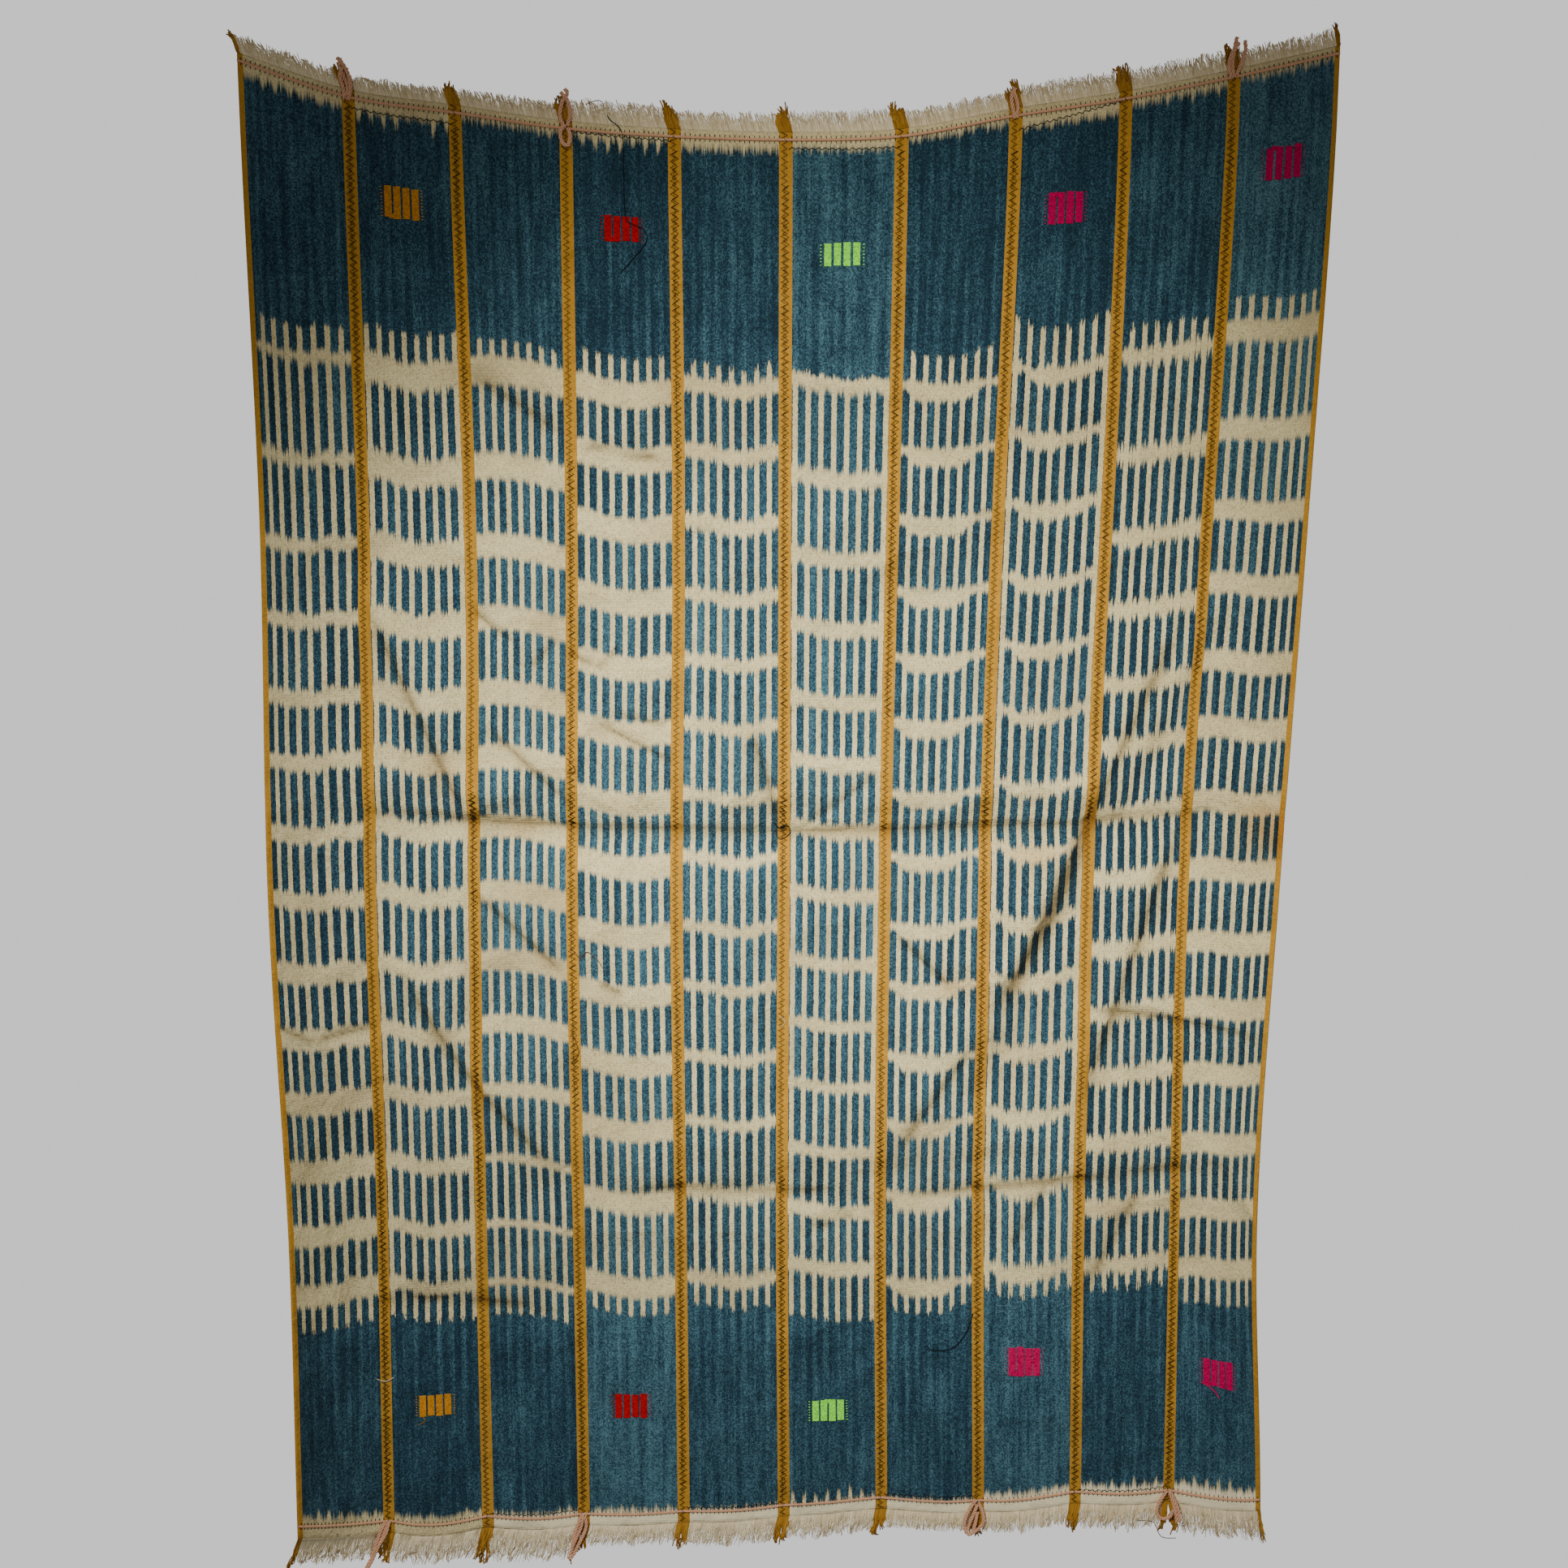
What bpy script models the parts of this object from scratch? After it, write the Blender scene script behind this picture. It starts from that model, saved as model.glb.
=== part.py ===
"""Strip-woven cotton cloth, hung by its two top corners. Blender 4.5, metres, +Z up.

Ten narrow strips are sewn edge to edge. Each ends above and below in a short fringe of its
own warp, and loose ends of the hem yarn hang at some of the seams. The front faces -Y, and
the origin is the middle of the woven top edge.
"""
import math
import random
from collections import namedtuple

import bmesh
import bpy

# The sheet, and the space between one piece and the next
CLOTH_THICK = 0.0012
PIECE_GAP = 0.0004
YARN_THICK = 0.0022

# How finely a strip's surface follows its folds
STRIP_COLUMNS = 5
STRIP_ROWS = 34

# A seam's distance across, at five heights a station apart from the top edge down,
# and the heights of the woven top and bottom edges there
STATION_DROP = 0.35
Seam = namedtuple("Seam", "across z_top z_bottom")
SEAMS = (
    Seam((-0.497, -0.493, -0.495, -0.484, -0.485), 0.070, -1.365),
    Seam((-0.398, -0.399, -0.405, -0.404, -0.407), 0.038, -1.394),
    Seam((-0.301, -0.299, -0.305, -0.307, -0.308), 0.024, -1.400),
    Seam((-0.200, -0.203, -0.210, -0.209, -0.209), 0.010, -1.401),
    Seam((-0.101, -0.101, -0.107, -0.106, -0.105), 0.003, -1.397),
    Seam((0.001, 0.000, -0.001, -0.003, -0.001), 0.000, -1.394),
    Seam((0.107, 0.103, 0.099, 0.097, 0.101), 0.003, -1.387),
    Seam((0.211, 0.203, 0.197, 0.196, 0.201), 0.021, -1.384),
    Seam((0.311, 0.306, 0.298, 0.297, 0.300), 0.036, -1.369),
    Seam((0.409, 0.400, 0.390, 0.392, 0.396), 0.055, -1.365),
    Seam((0.505, 0.490, 0.474, 0.465, 0.486), 0.076, -1.358),
)

# A strip's fringe lengths, how far its lower hem dips between its two seams, and how far
# its lower fringe leans to the right as a share of its length
Strip = namedtuple("Strip", "fringe_top fringe_bottom dip_bottom lean_bottom")
STRIPS = (
    Strip(0.013, 0.022, 0.004, -0.35),
    Strip(0.010, 0.024, 0.006, -0.30),
    Strip(0.012, 0.028, 0.005, -0.30),
    Strip(0.016, 0.016, 0.002, -0.25),
    Strip(0.012, 0.020, 0.002, -0.20),
    Strip(0.014, 0.019, 0.002, -0.15),
    Strip(0.011, 0.014, 0.003, -0.15),
    Strip(0.014, 0.016, 0.003, -0.10),
    Strip(0.013, 0.020, 0.004, -0.15),
    Strip(0.011, 0.023, 0.007, 0.15),
)

# Locks of warp ends on one edge of one strip. The first and the last are the selvedges',
# and longer. A lock takes this share of the space it stands in, and narrows by shares of
# its own width at its middle and its tip.
LOCKS = 12
BACKING_HEIGHT = 0.003
LOCK_SHARE = 0.62
LOCK_LENGTHS = (0.82, 1.12)
LOCK_SWING = 0.12
LOCK_DROOP = 0.10
SELVEDGE_EXTRA = 0.008
MIDDLE_NARROWED = 0.1
TIP_NARROWED = 0.3
MIDDLE_SWING = 0.35
MIDDLE_DROOP = 0.3

# The cloth's broad shape: its middle hangs back from its sides from a short way down, the
# two outer edges turn forwards by so much at each station, and the lower part waves a little
MIDDLE_BACK = 0.040
MIDDLE_BACK_DROP = 0.60
HALF_WIDTH = 0.50
LEFT_TURN = (0.0, 0.005, 0.020, 0.045, 0.050)
RIGHT_TURN = (0.0, 0.015, 0.040, 0.055, 0.015)
TURN_START = 0.390
TURN_WIDTH = 0.090
HEM_WAVE = 0.005
HEM_WAVE_LENGTH = 0.36
HEM_WAVE_START = 0.95
HEM_WAVE_DROP = 0.45

# Folds, each along a line from left to right: half widths above and below it, and how far
# it rises towards the viewer. A bow bends the line's middle up or down.
Fold = namedtuple("Fold", "x0 z0 x1 z1 bow above below rise")
FOLDS = (
    Fold(-0.540, -0.624, 0.540, -0.624, -0.032, 0.030, 0.060, -0.007),
    Fold(0.170, -0.924, 0.430, -0.374, 0.000, 0.080, 0.032, 0.012),
    Fold(0.280, -0.974, 0.400, -0.594, 0.000, 0.055, 0.028, 0.008),
    Fold(-0.420, -0.394, -0.280, -0.694, 0.000, 0.070, 0.032, 0.010),
    Fold(-0.400, -0.754, -0.190, -1.044, -0.020, 0.070, 0.035, 0.010),
    Fold(-0.130, -1.039, 0.320, -0.989, -0.006, 0.030, 0.060, -0.005),
    Fold(-0.250, -0.354, 0.250, -0.324, -0.030, 0.070, 0.070, 0.005),
    Fold(0.080, -1.024, 0.260, -0.794, 0.000, 0.060, 0.035, 0.007),
)
FOLD_END_SHARE = 0.25

# Loose ends of the hem yarn: which seam, whether at the top hem, how long, and how far
# they lean to the right as a share of that. Each is a small knot in front of the seam, as
# far from the cloth as its hairs hold it, with four strands that bend once on their way.
Tail = namedtuple("Tail", "seam at_top length lean")
TAILS = (
    Tail(1, True, 0.034, -0.12),
    Tail(3, True, 0.036, -0.15),
    Tail(7, True, 0.026, -0.05),
    Tail(9, True, 0.036, 0.10),
    Tail(1, False, 0.046, -0.45),
    Tail(3, False, 0.050, -0.30),
    Tail(7, False, 0.036, -0.25),
    Tail(9, False, 0.036, 0.20),
)
HEM_DEPTH = 0.012
TAIL_SEAT = 0.0009
TAIL_STRANDS = 4
STRAND_SHARE = 0.6
STRAND_LENGTHS = (0.80, 1.0)
TAIL_WIDTH = 0.008
TAIL_KNOT = 0.005
TAIL_DROOP = 0.008
BEND_SWING = 0.4
BEND_DROOP = 0.6

COTTON_STRIPES = (0.115, 0.200, 0.250, 1.0)
COTTON_ENDS = (0.610, 0.545, 0.390, 1.0)
HEM_YARN = (0.560, 0.290, 0.140, 1.0)


def clear_scene():
    for old in list(bpy.data.objects):
        bpy.data.objects.remove(old)


def cotton(name, colour):
    """Matt cotton of one colour."""
    material = bpy.data.materials.new(name)
    material.use_nodes = True
    shader = material.node_tree.nodes["Principled BSDF"]
    shader.inputs["Base Color"].default_value = colour
    shader.inputs["Roughness"].default_value = 0.92
    shader.inputs["Metallic"].default_value = 0.0
    return material


def ease(value):
    """0 up to 0, 1 from 1, and a soft S between."""
    value = min(max(value, 0.0), 1.0)
    return value * value * (3 - 2 * value)


def smooth(values, place):
    """The smooth curve through evenly spaced values, at a place counted in their steps."""
    place = min(max(place, 0.0), len(values) - 1.0)
    step = min(int(place), len(values) - 2)
    part = place - step
    before = values[max(step - 1, 0)]
    start, end = values[step], values[step + 1]
    after = values[min(step + 2, len(values) - 1)]
    bend = 2 * before - 5 * start + 4 * end - after
    twist = 3 * start - before - 3 * end + after
    return start + 0.5 * part * (end - before + part * (bend + part * twist))


def across(place, height):
    """The distance across at a place counted in strips from the left edge."""
    station = -height / STATION_DROP
    return smooth([smooth(seam.across, station) for seam in SEAMS], place)


def fold_rise(fold, x, z):
    """How far one fold lifts the cloth towards the viewer at a point."""
    run_x, run_z = fold.x1 - fold.x0, fold.z1 - fold.z0
    length = math.hypot(run_x, run_z)
    along = ((x - fold.x0) * run_x + (z - fold.z0) * run_z) / length**2
    off = ((z - fold.z0) * run_x - (x - fold.x0) * run_z) / length
    off -= fold.bow * 4 * along * (1 - along)
    half_width = fold.above if off > 0 else fold.below
    ends = ease(min(along, 1 - along) / FOLD_END_SHARE)
    return fold.rise * ends * ease(1 - abs(off) / half_width)


def depth(x, z):
    """The distance back from the plane of the top edge, worked out from the folds."""
    station = -z / STATION_DROP
    middle = MIDDLE_BACK * ease(-z / MIDDLE_BACK_DROP) * (1 - (x / HALF_WIDTH) ** 2)
    turn = smooth(LEFT_TURN if x < 0 else RIGHT_TURN, station)
    turn *= max(0.0, (abs(x) - TURN_START) / TURN_WIDTH) ** 2
    wave = HEM_WAVE * ease(-(z + HEM_WAVE_START) / HEM_WAVE_DROP)
    wave *= math.sin(2 * math.pi * x / HEM_WAVE_LENGTH)
    return middle - turn + wave - sum(fold_rise(fold, x, z) for fold in FOLDS)


def top_height(place):
    return smooth([seam.z_top for seam in SEAMS], place)


def bottom_height(place):
    """The woven bottom edge: each strip's hem hangs a little lower between its seams."""
    strip = STRIPS[min(int(place), len(STRIPS) - 1)]
    dip = strip.dip_bottom * math.sin(math.pi * (place % 1.0))
    return smooth([seam.z_bottom for seam in SEAMS], place) - dip


def cloth_point(place, height, lean=0.0, droop=0.0):
    """A point of the hanging cloth, or one moved sideways and forwards from it."""
    x = across(place, height)
    return (x + lean, depth(x, height) - droop, height)


def strip_side(strip, end):
    """The place of a strip's left (0) or right (1) side, half a gap short of the seam."""
    width = across(strip + 1, 0.0) - across(strip, 0.0)
    inset = 0.5 * PIECE_GAP / width
    return strip + inset + end * (1 - 2 * inset)


def finish(mesh_data, name, material, thickness):
    """Gives the sheet in a bmesh its thickness and puts it in the scene."""
    bmesh.ops.recalc_face_normals(mesh_data, faces=mesh_data.faces)
    mesh = bpy.data.meshes.new(name)
    mesh_data.to_mesh(mesh)
    mesh_data.free()
    mesh.materials.append(material)
    piece = bpy.data.objects.new(name, mesh)
    bpy.context.scene.collection.objects.link(piece)
    solid = piece.modifiers.new("Thickness", "SOLIDIFY")
    solid.thickness = thickness
    solid.offset = 0.0
    mesh.shade_smooth()


def make_strip(strip, material):
    """One woven strip: a sheet between its two seams that follows the folds."""
    sheet = bmesh.new()
    left, right = strip_side(strip, 0), strip_side(strip, 1)
    grid = []
    for row in range(STRIP_ROWS + 1):
        line = []
        for column in range(STRIP_COLUMNS + 1):
            place = left + (right - left) * column / STRIP_COLUMNS
            top, bottom = top_height(place), bottom_height(place)
            height = top + (bottom - top) * row / STRIP_ROWS
            line.append(sheet.verts.new(cloth_point(place, height)))
        grid.append(line)
    for upper, lower in zip(grid, grid[1:]):
        for column in range(STRIP_COLUMNS):
            sheet.faces.new((upper[column], upper[column + 1], lower[column + 1], lower[column]))
    finish(sheet, f"strip_{strip + 1:02d}", material, CLOTH_THICK)


def make_comb(sheet, point, left, right, teeth):
    """Faces for a narrow backing with teeth on its outer side.

    Each tooth is a list of (place of its left side, of its right side, distance out,
    sideways, forwards), from its root to its tip.
    """
    pitch = (right - left) / len(teeth)
    inner = [point(left + pitch * step, 0.0) for step in range(len(teeth) + 1)]
    roots = []
    for number, tooth in enumerate(teeth):
        rows = [(inner[number], inner[number + 1])]
        for start, end, out, sideways, droop in tooth:
            rows.append((point(start, out, sideways, droop), point(end, out, sideways, droop)))
        for near, far in zip(rows, rows[1:]):
            sheet.faces.new((near[0], near[1], far[1], far[0]))
        roots.append(rows[1])
    for step in range(1, len(teeth)):
        sheet.faces.new((inner[step], roots[step][0], roots[step - 1][1]))


def make_fringe(strip, at_top, material):
    """One strip's warp ends: locks whose roots stand in a narrow strip at the woven edge."""
    draw = random.Random(100 * at_top + strip)
    sheet = bmesh.new()
    outwards = 1 if at_top else -1
    edge = top_height if at_top else bottom_height
    length = STRIPS[strip].fringe_top if at_top else STRIPS[strip].fringe_bottom
    lean = 0.0 if at_top else STRIPS[strip].lean_bottom
    left, right = strip_side(strip, 0), strip_side(strip, 1)
    width = LOCK_SHARE * (right - left) / LOCKS

    def point(place, out, sideways=0.0, droop=0.0):
        height = edge(place) + outwards * (out + PIECE_GAP)
        return sheet.verts.new(cloth_point(place, height, sideways, droop))

    locks = []
    for number in range(LOCKS):
        is_selvedge = number in (0, LOCKS - 1)
        start = left + (right - left - width) * number / (LOCKS - 1)
        reach = length * draw.uniform(*LOCK_LENGTHS) + SELVEDGE_EXTRA * is_selvedge
        swing = reach * (lean + draw.uniform(-LOCK_SWING, LOCK_SWING))
        droop = reach * draw.uniform(0.0, LOCK_DROOP)
        lock = [(start, start + width, BACKING_HEIGHT, 0.0, 0.0)]
        if not at_top:
            inset = MIDDLE_NARROWED * width
            bend = 0.5 * (BACKING_HEIGHT + reach)
            sideways, forwards = MIDDLE_SWING * swing, MIDDLE_DROOP * droop
            lock.append((start + inset, start + width - inset, bend, sideways, forwards))
        inset = TIP_NARROWED * width
        lock.append((start + inset, start + width - inset, reach, swing, droop))
        locks.append(lock)
    make_comb(sheet, point, left, right, locks)
    end = "top" if at_top else "bottom"
    finish(sheet, f"fringe_{end}_{strip + 1:02d}", material, CLOTH_THICK)


def make_tail(tail, material):
    """A loose end of hem yarn: a small knot in front of the seam, with its strands."""
    draw = random.Random(10 * tail.seam + tail.at_top)
    sheet = bmesh.new()
    outwards = 1 if tail.at_top else -1
    edge = top_height(tail.seam) if tail.at_top else bottom_height(tail.seam)
    hem_line = edge - outwards * HEM_DEPTH
    middle = across(tail.seam, hem_line)
    clear = 0.5 * CLOTH_THICK + 0.5 * YARN_THICK + TAIL_SEAT

    def point(place, out, sideways=0.0, droop=0.0):
        x, z = middle + place + sideways, hem_line + outwards * out
        return sheet.verts.new((x, depth(x, z) - clear - droop, z))

    pitch = TAIL_WIDTH / TAIL_STRANDS
    strands = []
    for number in range(TAIL_STRANDS):
        start = pitch * (number + 0.5 - 0.5 * STRAND_SHARE) - 0.5 * TAIL_WIDTH
        end = start + STRAND_SHARE * pitch
        reach = tail.length * draw.uniform(*STRAND_LENGTHS)
        swing = reach * tail.lean + 0.5 * pitch * (number - 0.5 * (TAIL_STRANDS - 1))
        strands.append([
            (start, end, TAIL_KNOT, 0.0, 0.0),
            (start, end, 0.5 * reach, BEND_SWING * swing, BEND_DROOP * TAIL_DROOP),
            (start, end, reach, swing, TAIL_DROOP),
        ])
    make_comb(sheet, point, -0.5 * TAIL_WIDTH, 0.5 * TAIL_WIDTH, strands)
    end_name = "top" if tail.at_top else "bottom"
    finish(sheet, f"yarn_tail_{end_name}_{tail.seam}", material, YARN_THICK)


clear_scene()
strip_cotton = cotton("resist-dyed cotton", COTTON_STRIPES)
fringe_cotton = cotton("undyed cotton warp", COTTON_ENDS)
yarn = cotton("peach cotton yarn", HEM_YARN)
for index in range(len(STRIPS)):
    make_strip(index, strip_cotton)
    make_fringe(index, True, fringe_cotton)
    make_fringe(index, False, fringe_cotton)
for loose_end in TAILS:
    make_tail(loose_end, yarn)
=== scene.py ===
"""Strip-woven cotton cloth, resist-dyed with indigo, hung by its two top corners.

Ten narrow strips with gold selvedges are sewn edge to edge with a dark machine zigzag. A
peach yarn is couched along both cream hems, ten blocks of coloured weft are woven in, and
the warp is left to fray at both ends. Metres, +Z up, and the front faces -Y.
"""

import math
import random
from collections import namedtuple

import bmesh
import bpy
import numpy as np
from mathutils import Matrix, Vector


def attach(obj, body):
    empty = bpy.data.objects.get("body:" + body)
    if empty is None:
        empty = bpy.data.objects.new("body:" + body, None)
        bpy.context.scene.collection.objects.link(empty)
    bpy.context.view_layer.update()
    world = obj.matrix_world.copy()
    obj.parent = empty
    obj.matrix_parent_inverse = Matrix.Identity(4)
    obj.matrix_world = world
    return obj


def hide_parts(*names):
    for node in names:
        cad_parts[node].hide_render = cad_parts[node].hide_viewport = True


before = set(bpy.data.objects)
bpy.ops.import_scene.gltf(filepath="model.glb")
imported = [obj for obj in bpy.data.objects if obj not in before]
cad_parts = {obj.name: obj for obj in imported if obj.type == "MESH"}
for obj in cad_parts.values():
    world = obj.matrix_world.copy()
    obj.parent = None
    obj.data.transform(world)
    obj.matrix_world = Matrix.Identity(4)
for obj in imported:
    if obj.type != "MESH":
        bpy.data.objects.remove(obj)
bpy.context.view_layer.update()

# The ten woven strips: warp-faced cotton in bands about 0.10 m wide. The warp was tied off at
# even steps and dyed before weaving, so each blue stripe is broken where a tie kept the dye
# out. Four of the strips hang the other way up, with the same ties in reverse.

CLOTH_THICK = 0.0009
STRIP_WIDE, STRIP_LONG = 0.101, 1.42
STRIPE, STRIPES = 0.0059, 15
LEFT_SELVEDGE, RIGHT_SELVEDGE = 0.0068, 0.0053
OUTER_LEFT, OUTER_RIGHT = 1.35, 1.6  # the cloth's own edges have so much wider selvedges
# The real threads and picks are about half as wide, too fine to show, so they are drawn coarser
THREADS_IN_STRIPE, WEFT = 6, 0.0013
ROWS = 287
STATION_DROP = 0.35

# A seam's distance across at five heights a station apart, and the heights of the woven
# top and bottom edges there
Seam = namedtuple("Seam", "across z_top z_bottom")
SEAMS = (
    Seam((-0.497, -0.493, -0.495, -0.484, -0.485), 0.070, -1.365),
    Seam((-0.398, -0.399, -0.405, -0.404, -0.407), 0.038, -1.394),
    Seam((-0.301, -0.299, -0.305, -0.307, -0.308), 0.024, -1.400),
    Seam((-0.200, -0.203, -0.210, -0.209, -0.209), 0.010, -1.401),
    Seam((-0.101, -0.101, -0.107, -0.106, -0.105), 0.003, -1.397),
    Seam((0.001, 0.000, -0.001, -0.003, -0.001), 0.000, -1.394),
    Seam((0.107, 0.103, 0.099, 0.097, 0.101), 0.003, -1.387),
    Seam((0.211, 0.203, 0.197, 0.196, 0.201), 0.021, -1.384),
    Seam((0.311, 0.306, 0.298, 0.297, 0.300), 0.036, -1.369),
    Seam((0.409, 0.400, 0.390, 0.392, 0.396), 0.055, -1.365),
    Seam((0.505, 0.490, 0.474, 0.465, 0.486), 0.076, -1.358),
)

# How each strip was dyed. In millimetres below the middle of the top edge: where the plain
# blue ends at the top, the first and the last tie, and where the blue starts again. Then the
# ties' widths from first to last, how far each blue stripe slipped down in the loom from left
# to right, and the depth of the cream hems at the top and bottom edges and of their teeth.
# Then whether the strip hangs the other way up and whether it starts with a cream stripe, how
# brushed out the dashes' ends are, how far the bottom hem dips, and how much paler the blue is
# at four depths.
Dye = namedtuple("Dye", "top first last bottom widths slips hems teeth turned cream_first brush dip pale")
DYES = (
    Dye(175, 203, 1118, 1155, (5, 8, 12, 12, 18, 20, 19), (-2, 0, 3, 3, 5, 0, 2, 0),
        (20, 24), (5, 6), False, False, 0.5, 4, (-0.08, -0.19, -0.18, -0.14)),
    Dye(181, 218, 1126, 1161, (22, 21, 17, 13, 13, 10), (-8, -4, 0, 3, 2, 1, 0),
        (19, 22), (12, 4), False, True, 0.6, 6, (-0.15, -0.12, -0.08, -0.20)),
    Dye(192, 219, 1132, 1168, (22, 20, 20, 19, 16, 6, 4), (-4, -5, -4, -3, -1, 1, 5, 8),
        (14, 20), (3, 4), False, False, 0.2, 5, (-0.12, -0.03, 0, -0.12)),
    Dye(203, 237, 1135, 1163, (20, 21, 20, 19, 18), (-7, -4, 0, 2, 4, 4, 2, 1),
        (15, 19), (10, 4), True, False, 0.2, 2, (-0.24, -0.06, -0.05, 0.13)),
    Dye(209, 229, 1130, 1158, (11, 10, 8, 7, 10), (-4, -2, -1, 3, 4, 4, 0, -2),
        (19, 17), (2, 2), True, False, 0.6, 2, (-0.21, 0, -0.07, -0.04)),
    Dye(222, 227, 1117, 1172, (11, 11, 11, 8, 12), (-5, -2, 0, 2, 2, 1, 1),
        (18, 16), (2, 13), False, True, 0.5, 2, (0, -0.03, -0.06, -0.09)),
    Dye(201, 234, 1132, 1158, (14, 14, 12, 13, 15), (-5, 1, 2, 2, 2, -1, -7, -9),
        (14, 16), (3, 2), True, False, 0.4, 3, (-0.21, -0.1, -0.08, -0.10)),
    Dye(178, 222, 1119, 1141, (14, 12, 11, 14, 17), (-3, 5, 5, 5, 2, -1, -7),
        (21, 22), (3, 4), True, True, 0.8, 3, (-0.25, -0.15, -0.14, 0.08)),
    Dye(178, 204, 1106, 1130, (10, 12, 12, 14, 12), (4, 5, 3, 2, 0, -2, -5, -6),
        (16, 23), (4, 6), False, False, 1.0, 4, (-0.08, -0.2, -0.2, -0.10)),
    Dye(148, 177, 1097, 1136, (16, 16, 18, 18, 18), (-1, -2, -1, 1, 2, 2, 0, -1),
        (13, 25), (3, 8), False, False, 0.2, 7, (0.12, -0.16, -0.18, -0.01)),
)
PALE_DEPTHS = (150, 450, 850, 1250)
# The middle strips are a touch paler where they were folded: the depth, how far it reaches
FOLD_PALE, FOLD_PALE_DEPTH, FOLD_PALE_REACH = 0.04, 640, 260
# How far below their even places the rows of ties came to lie in each strip, in millimetres,
# at even steps down from a first depth
DRIFT_START, DRIFT_STEP = 200, 227.5
DRIFTS = (
    (-3, 4, 5, 5, 0), (2, 0, -2, 1, 3), (1, -5, -5, -8, -1), (0, 0, 0, 0, 0), (4, 5, 2, 1, -1),
    (1, 1, 2, 2, 0), (2, 0, 0, 0, 5), (-5, -4, -2, -1, -3), (-5, -3, -6, -5, -2), (1, -3, 0, 1, 2),
)
# The rows of the outer strips run down to one side: how far, from what depth and over what run
TILTS = {0: ((11, 420, -240), (8, 560, 200)), 9: ((-9, 420, -240), (-16, 350, 700))}
# Ties that get narrower towards their strip's sides: from which stripe on, and the share left
NARROWED = {
    6: (0.5, (0.4, 1, 1, 1, 1, 0.9, 0.3, 0.3)),
    7: (1.5, (0.4, 0.8, 1, 0.9, 0.8, 0.6, 0.4)),
}
# The steps from tie to tie, and the one that the plain blue beyond the outer ties counts as
TIE_STEPS = (93, 77, 69, 74, 61, 71, 64, 72, 65, 65, 71, 67, 61)
PLAIN_STEP = 70
TIE_STEP = 0.068  # the mean one in metres, for the dashes' ends

# The cloth's broad shape: the middle hangs back from the sides, the outer edges turn
# forwards by so much at each station, and the lower part waves a little
MIDDLE_BACK, MIDDLE_BACK_DROP, HALF_WIDTH = 0.040, 0.60, 0.50
LEFT_TURN = (0.0, 0.005, 0.020, 0.045, 0.050)
RIGHT_TURN = (0.0, 0.015, 0.040, 0.055, 0.015)
TURN_START, TURN_WIDTH = 0.390, 0.090
HEM_WAVE, HEM_WAVE_LENGTH, HEM_WAVE_START, HEM_WAVE_DROP = 0.005, 0.36, 0.95, 0.45

# Folds and creases, each along a line: how far the line bows up, the half widths above and
# below it, and how far it rises towards the viewer. These are the solids' own soft folds.
Fold = namedtuple("Fold", "x0 z0 x1 z1 bow above below rise")
FOLDS = (
    Fold(-0.540, -0.624, 0.540, -0.624, -0.032, 0.030, 0.060, -0.007),
    Fold(0.170, -0.924, 0.430, -0.374, 0.000, 0.080, 0.032, 0.012),
    Fold(0.280, -0.974, 0.400, -0.594, 0.000, 0.055, 0.028, 0.008),
    Fold(-0.420, -0.394, -0.280, -0.694, 0.000, 0.070, 0.032, 0.010),
    Fold(-0.400, -0.754, -0.190, -1.044, -0.020, 0.070, 0.035, 0.010),
    Fold(-0.130, -1.039, 0.320, -0.989, -0.006, 0.030, 0.060, -0.005),
    Fold(-0.250, -0.354, 0.250, -0.324, -0.030, 0.070, 0.070, 0.005),
    Fold(0.080, -1.024, 0.260, -0.794, 0.000, 0.060, 0.035, 0.007),
)
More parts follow.
